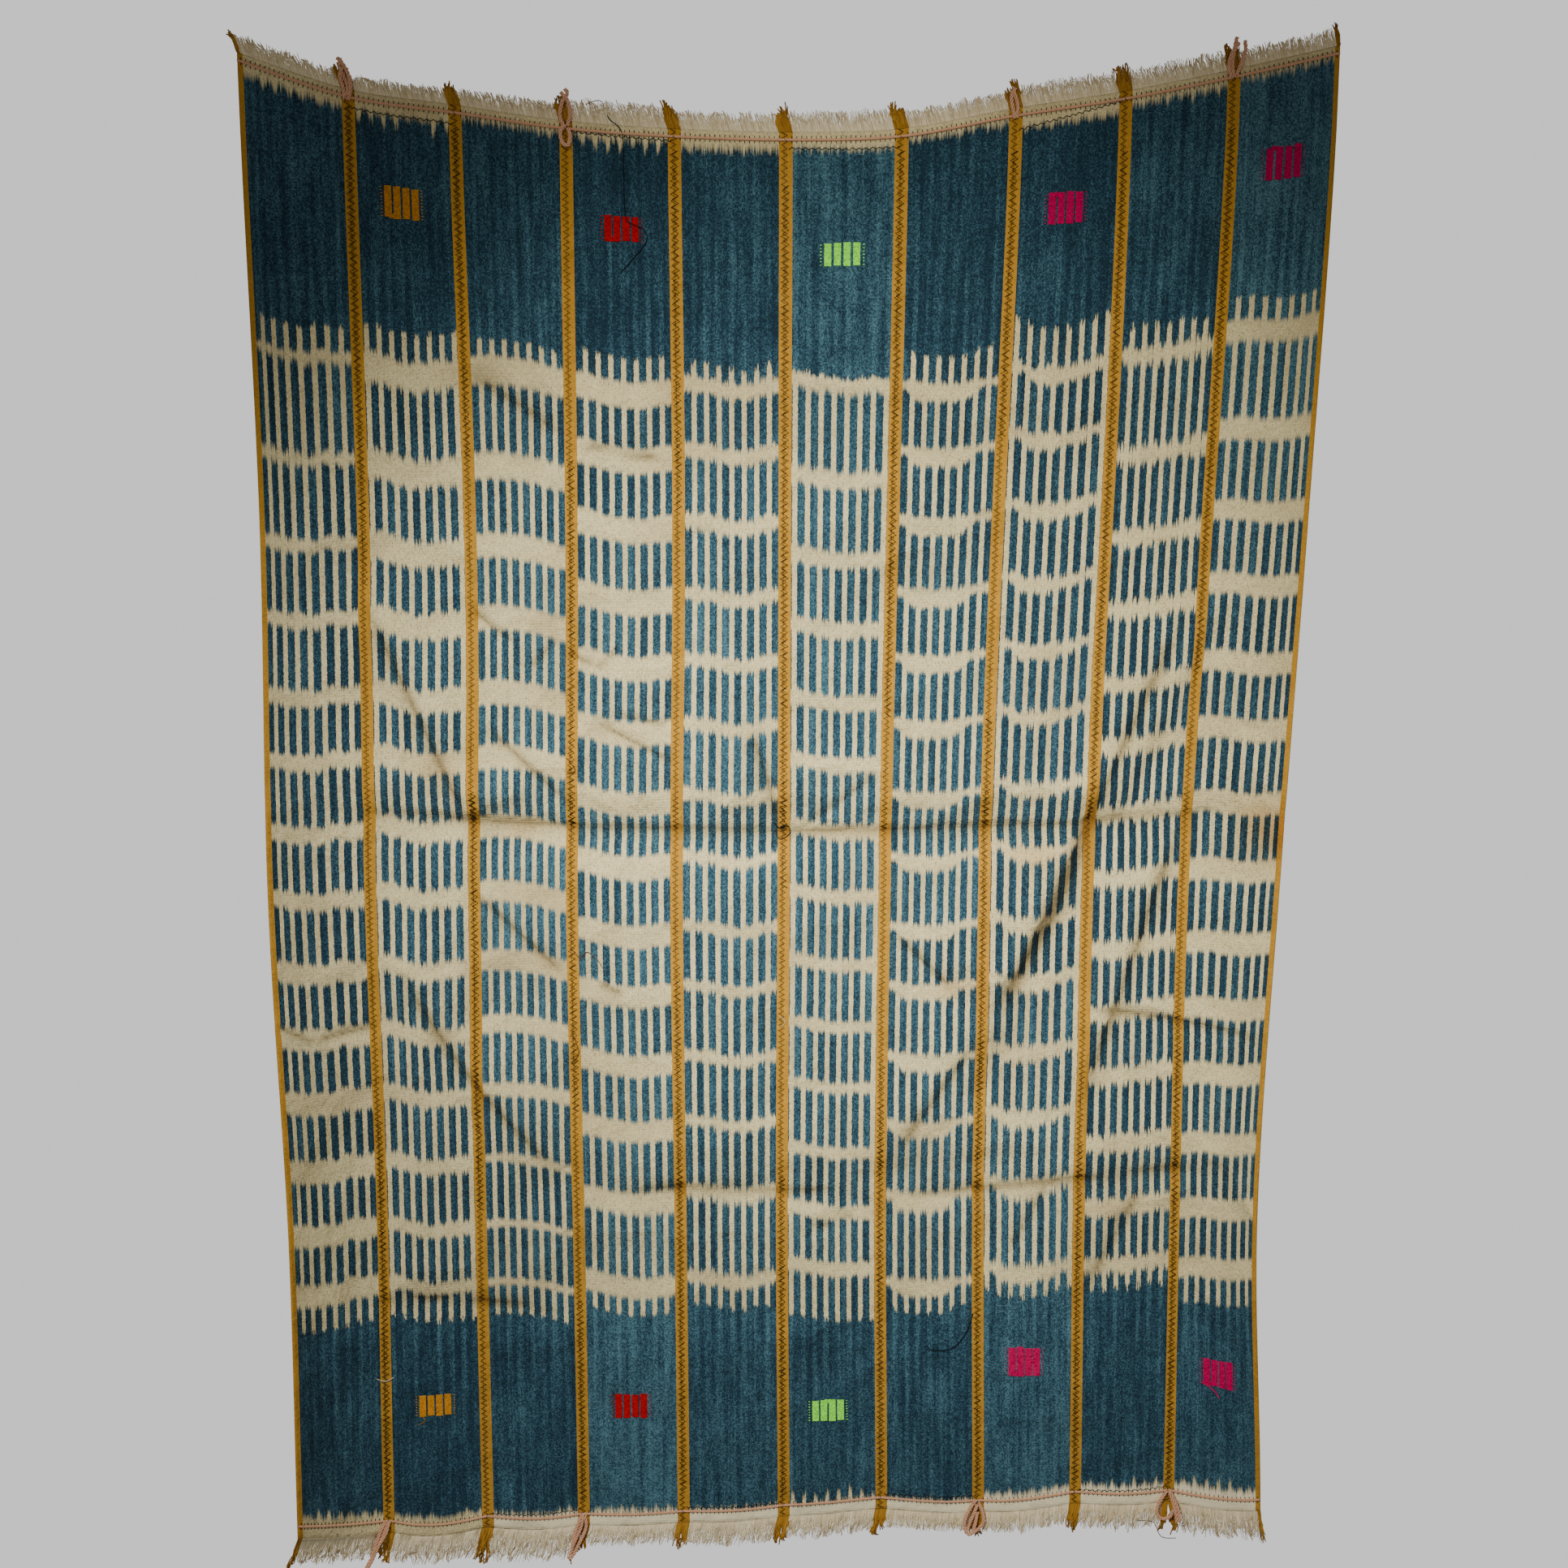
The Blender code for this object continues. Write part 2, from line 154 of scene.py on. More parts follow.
# Sharp creases, each with its crest along the line
CREASES = (
    # across the middle, and lower down
    Fold(-0.520, -0.622, 0.520, -0.622, -0.041, 0.011, 0.040, -0.0066),
    Fold(-0.215, -1.027, 0.105, -1.038, 0.000, 0.012, 0.030, -0.0042),
    Fold(0.095, -1.040, 0.470, -0.985, -0.006, 0.012, 0.030, -0.0046),
    Fold(0.290, -0.836, 0.470, -0.857, 0.000, 0.012, 0.024, -0.0042),
    Fold(-0.430, -1.140, -0.215, -1.165, 0.008, 0.012, 0.024, -0.0032),
    # diagonals on the right
    Fold(0.190, -0.860, 0.300, -0.620, -0.022, 0.020, 0.036, -0.0085),
    Fold(0.195, -0.900, 0.400, -0.400, 0.000, 0.018, 0.032, -0.0066),
    Fold(0.290, -0.960, 0.395, -0.620, 0.000, 0.018, 0.030, -0.0066),
    Fold(0.300, -1.150, 0.365, -1.010, 0.000, 0.012, 0.020, -0.0046),
    Fold(0.105, -1.005, 0.195, -0.870, 0.000, 0.013, 0.022, -0.0052),
    Fold(0.108, -0.765, 0.173, -0.826, 0.000, 0.012, 0.018, -0.0046),
    Fold(0.222, -1.105, 0.268, -1.020, 0.000, 0.010, 0.018, -0.0040),
    # diagonals on the left
    Fold(-0.405, -0.420, -0.300, -0.670, 0.000, 0.018, 0.032, -0.0066),
    Fold(-0.295, -0.550, -0.205, -0.640, 0.000, 0.012, 0.022, -0.0046),
    Fold(-0.385, -0.780, -0.205, -1.030, -0.016, 0.018, 0.032, -0.0066),
    Fold(-0.310, -0.715, -0.210, -0.815, 0.000, 0.012, 0.022, -0.0046),
    Fold(-0.300, -0.215, -0.200, -0.280, 0.000, 0.018, 0.024, -0.0050),
    # small ones: the fourth strip, the third, the fifth at its seam, the first
    Fold(-0.188, -0.550, -0.100, -0.598, 0.000, 0.009, 0.016, -0.0036),
    Fold(-0.207, -0.484, -0.182, -0.499, 0.000, 0.008, 0.012, -0.0034),
    Fold(-0.184, -0.500, -0.156, -0.474, 0.000, 0.008, 0.012, 0.0034),
    Fold(-0.170, -0.544, -0.110, -0.557, 0.000, 0.008, 0.014, -0.0032),
    Fold(-0.192, -0.286, -0.108, -0.300, 0.000, 0.009, 0.016, -0.0032),
    Fold(-0.187, -0.811, -0.160, -0.826, 0.000, 0.008, 0.012, 0.0032),
    Fold(-0.300, -0.437, -0.253, -0.476, -0.004, 0.008, 0.014, -0.0034),
    Fold(-0.246, -0.502, -0.217, -0.466, 0.000, 0.008, 0.014, -0.0032),
    Fold(-0.034, -0.560, -0.004, -0.672, 0.004, 0.012, 0.028, -0.0078),
    Fold(0.010, -0.664, 0.098, -0.600, 0.000, 0.009, 0.016, -0.0038),
    Fold(0.010, -1.080, 0.076, -1.060, 0.000, 0.009, 0.014, -0.0032),
    Fold(-0.492, -0.836, -0.458, -0.862, 0.000, 0.009, 0.014, 0.0040),
    Fold(-0.463, -0.862, -0.400, -0.853, 0.000, 0.009, 0.016, -0.0040),
)
FOLD_END_SHARE = 0.25

# Old brown stains: where, how wide and how strong
STAINS = (
    (0.462, -0.650, 0.026, 1.0), (0.247, -0.690, 0.030, 0.45), (0.172, -0.815, 0.022, 0.45),
    (-0.335, -0.605, 0.026, 0.45), (-0.258, -0.660, 0.018, 0.35), (0.395, -0.105, 0.030, 0.20),
)

# Dyed and undyed cotton, as the eye has it in flat light, with a painted shade for the creases and a painted
# light for the bottom hems
INDIGO_DEEP = 0x152B35
INDIGO = 0x2B4954
INDIGO_PALE = 0x50767C
CREAM = 0xE0CF98
CREAM_SHADED = 0xB6A474
# painted shade, laid along the crests of the creases
CREASE_PAINTED_SHADE = 0x7C6C54
SPECK = 0x84663C
STAIN = 0xA48C60
OLD_STAIN = 0xD8A874
# painted light for the bottom hems
HEM_PAINTED_LIGHT_CREAM = 0xFFEFC2
GOLD = 0xBE8B2C
GOLD_DEEP = 0x916218


def ease(value):
    """0 up to 0, 1 from 1, and a soft S between."""
    value = np.clip(value, 0.0, 1.0)
    return value * value * (3 - 2 * value)


def smooth(values, place):
    """The smooth curve through evenly spaced values, at places counted in their steps."""
    values, place = np.asarray(values, float), np.asarray(place, float)
    last = len(values) - 1
    place = np.clip(place, 0.0, last)
    step = np.minimum(place.astype(int), last - 1)
    part = place - step
    near = [np.clip(step + shift, 0, last) for shift in (-1, 0, 1, 2)]
    if values.ndim == 1:
        before, start, end, after = (values[index] for index in near)
    else:
        before, start, end, after = (values[index, np.arange(place.size)] for index in near)
    bend = 2 * before - 5 * start + 4 * end - after
    twist = 3 * start - before - 3 * end + after
    return start + 0.5 * part * (end - before + part * (bend + part * twist))


def across(place, height):
    """The distance across at a place counted in strips from the left edge."""
    station = -np.asarray(height, float) / STATION_DROP
    seams = np.stack([smooth(seam.across, station) for seam in SEAMS])
    return smooth(seams, place)


def near_fold(x, z, fold):
    """How near a point is to a fold's line, 1 on it and 0 beside it, and how far from its ends."""
    run_x, run_z = fold.x1 - fold.x0, fold.z1 - fold.z0
    length = math.hypot(run_x, run_z)
    along = ((x - fold.x0) * run_x + (z - fold.z0) * run_z) / length**2
    off = ((z - fold.z0) * run_x - (x - fold.x0) * run_z) / length
    off = off - fold.bow * 4 * along * (1 - along)
    near = np.maximum(0.0, 1 - np.abs(off) / np.where(off > 0, fold.above, fold.below))
    return near, ease(np.minimum(along, 1 - along) / FOLD_END_SHARE)


def depth(x, z):
    """The distance back from the plane of the top edge, worked out from the folds."""
    station = -z / STATION_DROP
    middle = MIDDLE_BACK * ease(-z / MIDDLE_BACK_DROP) * (1 - (x / HALF_WIDTH) ** 2)
    turn = np.where(x < 0, smooth(LEFT_TURN, station), smooth(RIGHT_TURN, station))
    turn = turn * np.maximum(0.0, (np.abs(x) - TURN_START) / TURN_WIDTH) ** 2
    wave = HEM_WAVE * ease(-(z + HEM_WAVE_START) / HEM_WAVE_DROP)
    back = middle - turn + wave * np.sin(2 * np.pi * x / HEM_WAVE_LENGTH)
    for fold in FOLDS:
        near, ends = near_fold(x, z, fold)
        back = back - fold.rise * ends * ease(near)
    for crease in CREASES:
        near, ends = near_fold(x, z, crease)
        back = back - crease.rise * ends * near**2
    return back


def top_height(place):
    return smooth([seam.z_top for seam in SEAMS], place)


def bottom_height(place):
    """The woven bottom edge: each strip's hem hangs a little lower between its seams."""
    place = np.asarray(place, float)
    strip = np.minimum(place.astype(int), len(DYES) - 1)
    dip = 0.001 * np.array([dye.dip for dye in DYES])[strip]
    return smooth([seam.z_bottom for seam in SEAMS], place) - dip * np.sin(np.pi * (place % 1.0))


def cloth_point(place, height, lift=0.0):
    """A point on the cloth's middle sheet, or one moved out of its front."""
    x = across(place, height)
    step = 0.001
    slope_x = (depth(x + step, height) - depth(x - step, height)) / (2 * step)
    slope_z = (depth(x, height + step) - depth(x, height - step)) / (2 * step)
    size = np.sqrt(1 + slope_x**2 + slope_z**2)
    out = np.stack([slope_x, -np.ones_like(slope_x), slope_z], -1) / size[..., None]
    point = np.stack([x, depth(x, height), np.asarray(height, float)], -1)
    return point + np.asarray(lift)[..., None] * out


def colour(value):
    """An sRGB hex colour as the linear colour that a shader takes."""
    parts = [((value >> shift) & 255) / 255 for shift in (16, 8, 0)]
    return [p / 12.92 if p <= 0.04045 else ((p + 0.055) / 1.055) ** 2.4 for p in parts] + [1.0]


def add(tree, kind, inputs=None, **settings):
    """Adds one node with its settings, and links or sets its inputs by name or number."""
    node = tree.nodes.new(kind)
    for name, value in settings.items():
        setattr(node, name, value)
    for name, value in (inputs or {}).items():
        if isinstance(value, bpy.types.Node):
            value = value.outputs[0]
        if isinstance(value, bpy.types.NodeSocket):
            tree.links.new(value, node.inputs[name])
        else:
            node.inputs[name].default_value = value
    return node


def new_material(name, roughness, sheen=0.0):
    """A named material with its tree and its Principled shader."""
    material = bpy.data.materials.new(name)
    material.use_nodes = True
    shader = material.node_tree.nodes["Principled BSDF"]
    shader.inputs["Roughness"].default_value = roughness
    shader.inputs["IOR"].default_value = 1.53
    shader.inputs["Specular IOR Level"].default_value = 0.12
    shader.inputs["Sheen Weight"].default_value = sheen
    shader.inputs["Sheen Roughness"].default_value = 0.6
    return material, material.node_tree, shader


# Cotton dyed in the hank with indigo: matt, deep blue with paler threads and paler dash
# ends, edges stepped by the weft, and cream cotton flecked with seed and a little soiled,
# with painted shade along the creases' crests.
cloth, tree, shader = new_material("resist-dyed cotton", roughness=0.93, sheen=0.02)
read = {}
for name in ("stripe", "run", "tie", "gap", "band", "hem", "teeth", "gold", "pale", "brush",
             "crest", "stain", "clean"):
    read[name] = add(tree, "ShaderNodeAttribute", attribute_name=name).outputs["Fac"]
fine = add(tree, "ShaderNodeMath", {0: read["stripe"], 1: THREADS_IN_STRIPE}, operation="MULTIPLY")
thread = add(tree, "ShaderNodeMath", {0: fine}, operation="FLOOR")
picks = add(tree, "ShaderNodeMath", {0: read["run"], 1: WEFT}, operation="DIVIDE")
pick = add(tree, "ShaderNodeMath", {0: picks}, operation="FLOOR")
tie_half = add(tree, "ShaderNodeMath", {0: read["tie"], 1: 0.5}, operation="ADD")
tie_number = add(tree, "ShaderNodeMath", {0: tie_half}, operation="FLOOR")

# one random number for each thread at each tie, and one for each crossing
at_tie = add(tree, "ShaderNodeCombineXYZ", {0: thread, 1: tie_number})
slip = add(tree, "ShaderNodeTexWhiteNoise", {"Vector": at_tie}, noise_dimensions="2D")
slip = add(tree, "ShaderNodeMath", {0: slip, 1: -0.5}, operation="ADD")
reach = add(tree, "ShaderNodeMath", {0: read["brush"], 1: 0.0062, 2: 0.0016}, operation="MULTIPLY_ADD")
slip = add(tree, "ShaderNodeMath", {0: slip, 1: reach}, operation="MULTIPLY")
crossing = add(tree, "ShaderNodeCombineXYZ", {0: thread, 1: pick})
crossing = add(tree, "ShaderNodeTexWhiteNoise", {"Vector": crossing}, noise_dimensions="2D")

# the broken stripes: inside its stripe, clear of a tie, with the edges stepped by the weft
stagger = add(tree, "ShaderNodeTexWhiteNoise", {"W": pick}, noise_dimensions="1D")
stagger = add(tree, "ShaderNodeMath", {0: stagger, 1: 0.09, 2: read["stripe"]}, operation="MULTIPLY_ADD")
half = add(tree, "ShaderNodeMath", {0: stagger, 1: 0.5}, operation="MULTIPLY")
half = add(tree, "ShaderNodeMath", {0: half}, operation="FRACT")
is_blue = add(tree, "ShaderNodeMath", {0: half, 1: 0.60}, operation="LESS_THAN")
off_tie = add(tree, "ShaderNodeMath", {0: tie_half}, operation="FRACT")
off_tie = add(tree, "ShaderNodeMath", {0: off_tie, 1: -0.5}, operation="ADD")
off_tie = add(tree, "ShaderNodeMath", {0: off_tie}, operation="ABSOLUTE")
off_tie = add(tree, "ShaderNodeMath", {0: off_tie, 1: read["gap"]}, operation="SUBTRACT")
off_tie = add(tree, "ShaderNodeMath", {0: off_tie, 1: TIE_STEP, 2: slip}, operation="MULTIPLY_ADD")
dash = add(tree, "ShaderNodeMapRange", {"Value": off_tie, "From Min": -0.0012, "From Max": 0.0038})
dash = add(tree, "ShaderNodeMath", {0: dash, 1: is_blue}, operation="MULTIPLY")

# the plain blue at both ends, and the cream hems beyond it
frayed = add(tree, "ShaderNodeMath", {0: slip, 1: 1.3, 2: read["band"]}, operation="MULTIPLY_ADD")
plain = add(tree, "ShaderNodeMapRange",
            {"Value": frayed, "From Min": 0.0016, "From Max": -0.0016}, clamp=True)
dyed = add(tree, "ShaderNodeMath", {0: dash, 1: plain}, operation="MAXIMUM")
stripe_number = add(tree, "ShaderNodeMath", {0: read["stripe"]}, operation="FLOOR")
long = add(tree, "ShaderNodeTexWhiteNoise", {"W": stripe_number}, noise_dimensions="1D")
long = add(tree, "ShaderNodeMath", {0: long, 1: 1.1, 2: 0.15}, operation="MULTIPLY_ADD")
long = add(tree, "ShaderNodeMath", {0: long, 1: read["teeth"]}, operation="MULTIPLY")
finger = add(tree, "ShaderNodeMath", {0: half, 1: 0.80}, operation="SUBTRACT")
finger = add(tree, "ShaderNodeMath", {0: finger}, operation="ABSOLUTE")
finger = add(tree, "ShaderNodeMapRange", {"Value": finger, "From Min": 0.20, "From Max": 0.12})
finger = add(tree, "ShaderNodeMath", {0: finger, 1: long}, operation="MULTIPLY")
hem = add(tree, "ShaderNodeMath", {0: read["hem"], 1: finger}, operation="SUBTRACT")
ragged = add(tree, "ShaderNodeTexWhiteNoise", {"W": thread}, noise_dimensions="1D")
hem = add(tree, "ShaderNodeMath", {0: ragged, 1: -0.0065, 2: hem}, operation="MULTIPLY_ADD")
hem = add(tree, "ShaderNodeMapRange", {"Value": hem, "From Min": -0.0070, "From Max": -0.0002})
dyed = add(tree, "ShaderNodeMath", {0: dyed, 1: hem}, operation="MULTIPLY")

# how deep the blue is: by dash, in streaks along the warp, in salt and pepper at each pick
dash_number = add(tree, "ShaderNodeMath", {0: read["tie"]}, operation="FLOOR")
of_dash = add(tree, "ShaderNodeCombineXYZ", {0: stripe_number, 1: dash_number, 2: 3.0})
of_dash = add(tree, "ShaderNodeTexWhiteNoise", {"Vector": of_dash}, noise_dimensions="3D")
streak_at = add(tree, "ShaderNodeCombineXYZ", {0: read["stripe"], 1: read["run"]})
streak_at = add(tree, "ShaderNodeVectorMath", {0: streak_at, 1: (1.37, 3.1, 0.0)}, operation="MULTIPLY")
streak = add(tree, "ShaderNodeTexNoise",
             {"Vector": streak_at, "Scale": 1.0, "Detail": 4.0, "Roughness": 0.65})
place = add(tree, "ShaderNodeTexCoord").outputs["Object"]
cloud = add(tree, "ShaderNodeTexNoise", {"Vector": place, "Scale": 14.0, "Detail": 4.0})
in_dashes = add(tree, "ShaderNodeMath", {0: 1.0, 1: plain}, operation="SUBTRACT")
shade = add(tree, "ShaderNodeMath", {0: of_dash, 1: 0.18, 2: -0.09}, operation="MULTIPLY_ADD")
shade = add(tree, "ShaderNodeMath", {0: shade, 1: in_dashes}, operation="MULTIPLY")
shade = add(tree, "ShaderNodeMath", {0: streak, 1: 0.85, 2: shade}, operation="MULTIPLY_ADD")
shade = add(tree, "ShaderNodeMath", {0: cloud, 1: 0.35, 2: shade}, operation="MULTIPLY_ADD")
shade = add(tree, "ShaderNodeMath", {0: crossing, 1: 0.62, 2: shade}, operation="MULTIPLY_ADD")
shade = add(tree, "ShaderNodeMath", {0: read["pale"], 1: shade}, operation="ADD")
near_end = add(tree, "ShaderNodeMapRange", {
    "Value": off_tie, "From Min": 0.0, "From Max": 0.006, "To Min": 0.16, "To Max": 0.0})
shade = add(tree, "ShaderNodeMath", {0: near_end, 1: in_dashes, 2: shade}, operation="MULTIPLY_ADD")
# in the plain ends the stripes still show where they were dyed twice, less so further out,
# and the blue is patchy
overdyed = add(tree, "ShaderNodeMath", {0: is_blue, 1: -0.18, 2: 0.108}, operation="MULTIPLY_ADD")
fading = add(tree, "ShaderNodeMapRange",
             {"Value": read["band"], "From Min": -0.13, "From Max": -0.01, "To Min": 0.25})
patch_at = add(tree, "ShaderNodeVectorMath", {0: streak_at, 1: (0.55, 4.2, 0.0)}, operation="MULTIPLY")
patch = add(tree, "ShaderNodeTexNoise", {"Vector": patch_at, "Scale": 1.0, "Detail": 3.0, "Roughness": 0.6})
patch = add(tree, "ShaderNodeMath", {0: patch, 1: 0.9, 2: -0.45}, operation="MULTIPLY_ADD")
overdyed = add(tree, "ShaderNodeMath", {0: overdyed, 1: fading, 2: patch}, operation="MULTIPLY_ADD")
shade = add(tree, "ShaderNodeMath", {0: overdyed, 1: plain, 2: shade}, operation="MULTIPLY_ADD")
shade = add(tree, "ShaderNodeMapRange", {"Value": shade, "From Min": 0.53, "From Max": 1.39})
blue = add(tree, "ShaderNodeValToRGB", {0: shade})
blue.color_ramp.elements[0].color = colour(INDIGO_DEEP)
blue.color_ramp.elements[1].color = colour(INDIGO_PALE)
blue.color_ramp.elements.new(0.42).color = colour(INDIGO)

# undyed cotton: uneven, with seed flecks and faint stains
soil = add(tree, "ShaderNodeTexNoise", {"Vector": place, "Scale": 7.0, "Detail": 5.0, "Roughness": 0.6})
soil = add(tree, "ShaderNodeMapRange", {"Value": soil, "From Min": 0.50, "From Max": 0.72, "To Max": 0.50})
cream_mix = add(tree, "ShaderNodeMath", {0: crossing, 1: 0.85}, operation="MULTIPLY")
cream = add(tree, "ShaderNodeMix", {0: cream_mix, 6: colour(CREAM), 7: colour(CREAM_SHADED)},
            data_type="RGBA")
cream = add(tree, "ShaderNodeMix", {0: soil, 6: cream.outputs[2], 7: colour(STAIN)}, data_type="RGBA")
fleck = add(tree, "ShaderNodeMath", {0: crossing, 1: 0.97}, operation="GREATER_THAN")
fleck = add(tree, "ShaderNodeMath", {0: fleck, 1: 0.4}, operation="MULTIPLY")
cream = add(tree, "ShaderNodeMix", {0: fleck, 6: cream.outputs[2], 7: colour(SPECK)}, data_type="RGBA")

# painted light: the bottom hems, from the third strip on, are brightened towards a pale cream as if more
# strongly lit
clean = add(tree, "ShaderNodeMath", {0: read["clean"], 1: 0.75}, operation="MULTIPLY")
cream = add(tree, "ShaderNodeMix", {0: clean, 6: cream.outputs[2], 7: colour(HEM_PAINTED_LIGHT_CREAM)}, data_type="RGBA")

# gold selvedge, a plain warp-faced band down each side
gold_mix = add(tree, "ShaderNodeMath", {0: crossing, 1: 0.5, 2: 0.05}, operation="MULTIPLY_ADD")
gold = add(tree, "ShaderNodeMix", {0: gold_mix, 6: colour(GOLD), 7: colour(GOLD_DEEP)}, data_type="RGBA")
in_gold = add(tree, "ShaderNodeMath", {0: read["gold"], 1: 0.0}, operation="LESS_THAN")
surface = add(tree, "ShaderNodeMix", {0: dyed, 6: cream.outputs[2], 7: blue}, data_type="RGBA")
surface = add(tree, "ShaderNodeMix", {0: in_gold, 6: surface.outputs[2], 7: gold.outputs[2]},
              data_type="RGBA")
old = add(tree, "ShaderNodeMath", {0: read["stain"], 1: 0.7}, operation="MULTIPLY")
surface = add(tree, "ShaderNodeMix", {0: old, 6: surface.outputs[2], 7: colour(OLD_STAIN)},
              data_type="RGBA", blend_type="MULTIPLY")
# painted shade: the crests of the creases are darkened towards a brown-grey
wear_and_crease_shade = add(tree, "ShaderNodeMath", {0: read["crest"], 1: 0.78}, operation="MULTIPLY")
surface = add(tree, "ShaderNodeMix", {0: wear_and_crease_shade, 6: surface.outputs[2], 7: colour(CREASE_PAINTED_SHADE)},
              data_type="RGBA", blend_type="MULTIPLY")
tree.links.new(surface.outputs[2], shader.inputs["Base Color"])

# relief: warp ribs 1 mm apart and picks 1.3 mm apart, coarser than the real ones so that they
# show, and soft rumples of the whole cloth
ribs = add(tree, "ShaderNodeMath", {0: fine, 1: math.pi}, operation="MULTIPLY")
ribs = add(tree, "ShaderNodeMath", {0: ribs}, operation="SINE")
ribs = add(tree, "ShaderNodeMath", {0: ribs}, operation="ABSOLUTE")
beats = add(tree, "ShaderNodeMath", {0: picks, 1: math.pi}, operation="MULTIPLY")
beats = add(tree, "ShaderNodeMath", {0: beats}, operation="SINE")
beats = add(tree, "ShaderNodeMath", {0: beats, 1: ribs}, operation="ADD")
weave = add(tree, "ShaderNodeBump", {"Strength": 0.35, "Distance": 0.00015, "Height": beats})
drawn = add(tree, "ShaderNodeTexNoise", {"Vector": place, "Scale": 9.0, "Detail": 2.0}).outputs["Color"]
drawn = add(tree, "ShaderNodeVectorMath", {0: drawn, 1: (0.12, 0.12, 0.12), 2: place},
            operation="MULTIPLY_ADD")
facet = add(tree, "ShaderNodeTexVoronoi", {"Vector": drawn, "Scale": 13.0})
rumple = add(tree, "ShaderNodeTexNoise", {"Vector": place, "Scale": 26.0, "Detail": 4.0, "Roughness": 0.55})
rumple = add(tree, "ShaderNodeMath", {0: facet, 1: 1.3, 2: rumple}, operation="MULTIPLY_ADD")
rumple = add(tree, "ShaderNodeBump",
             {"Strength": 1.0, "Distance": 0.0065, "Height": rumple, "Normal": weave})
tree.links.new(rumple.outputs[0], shader.inputs["Normal"])


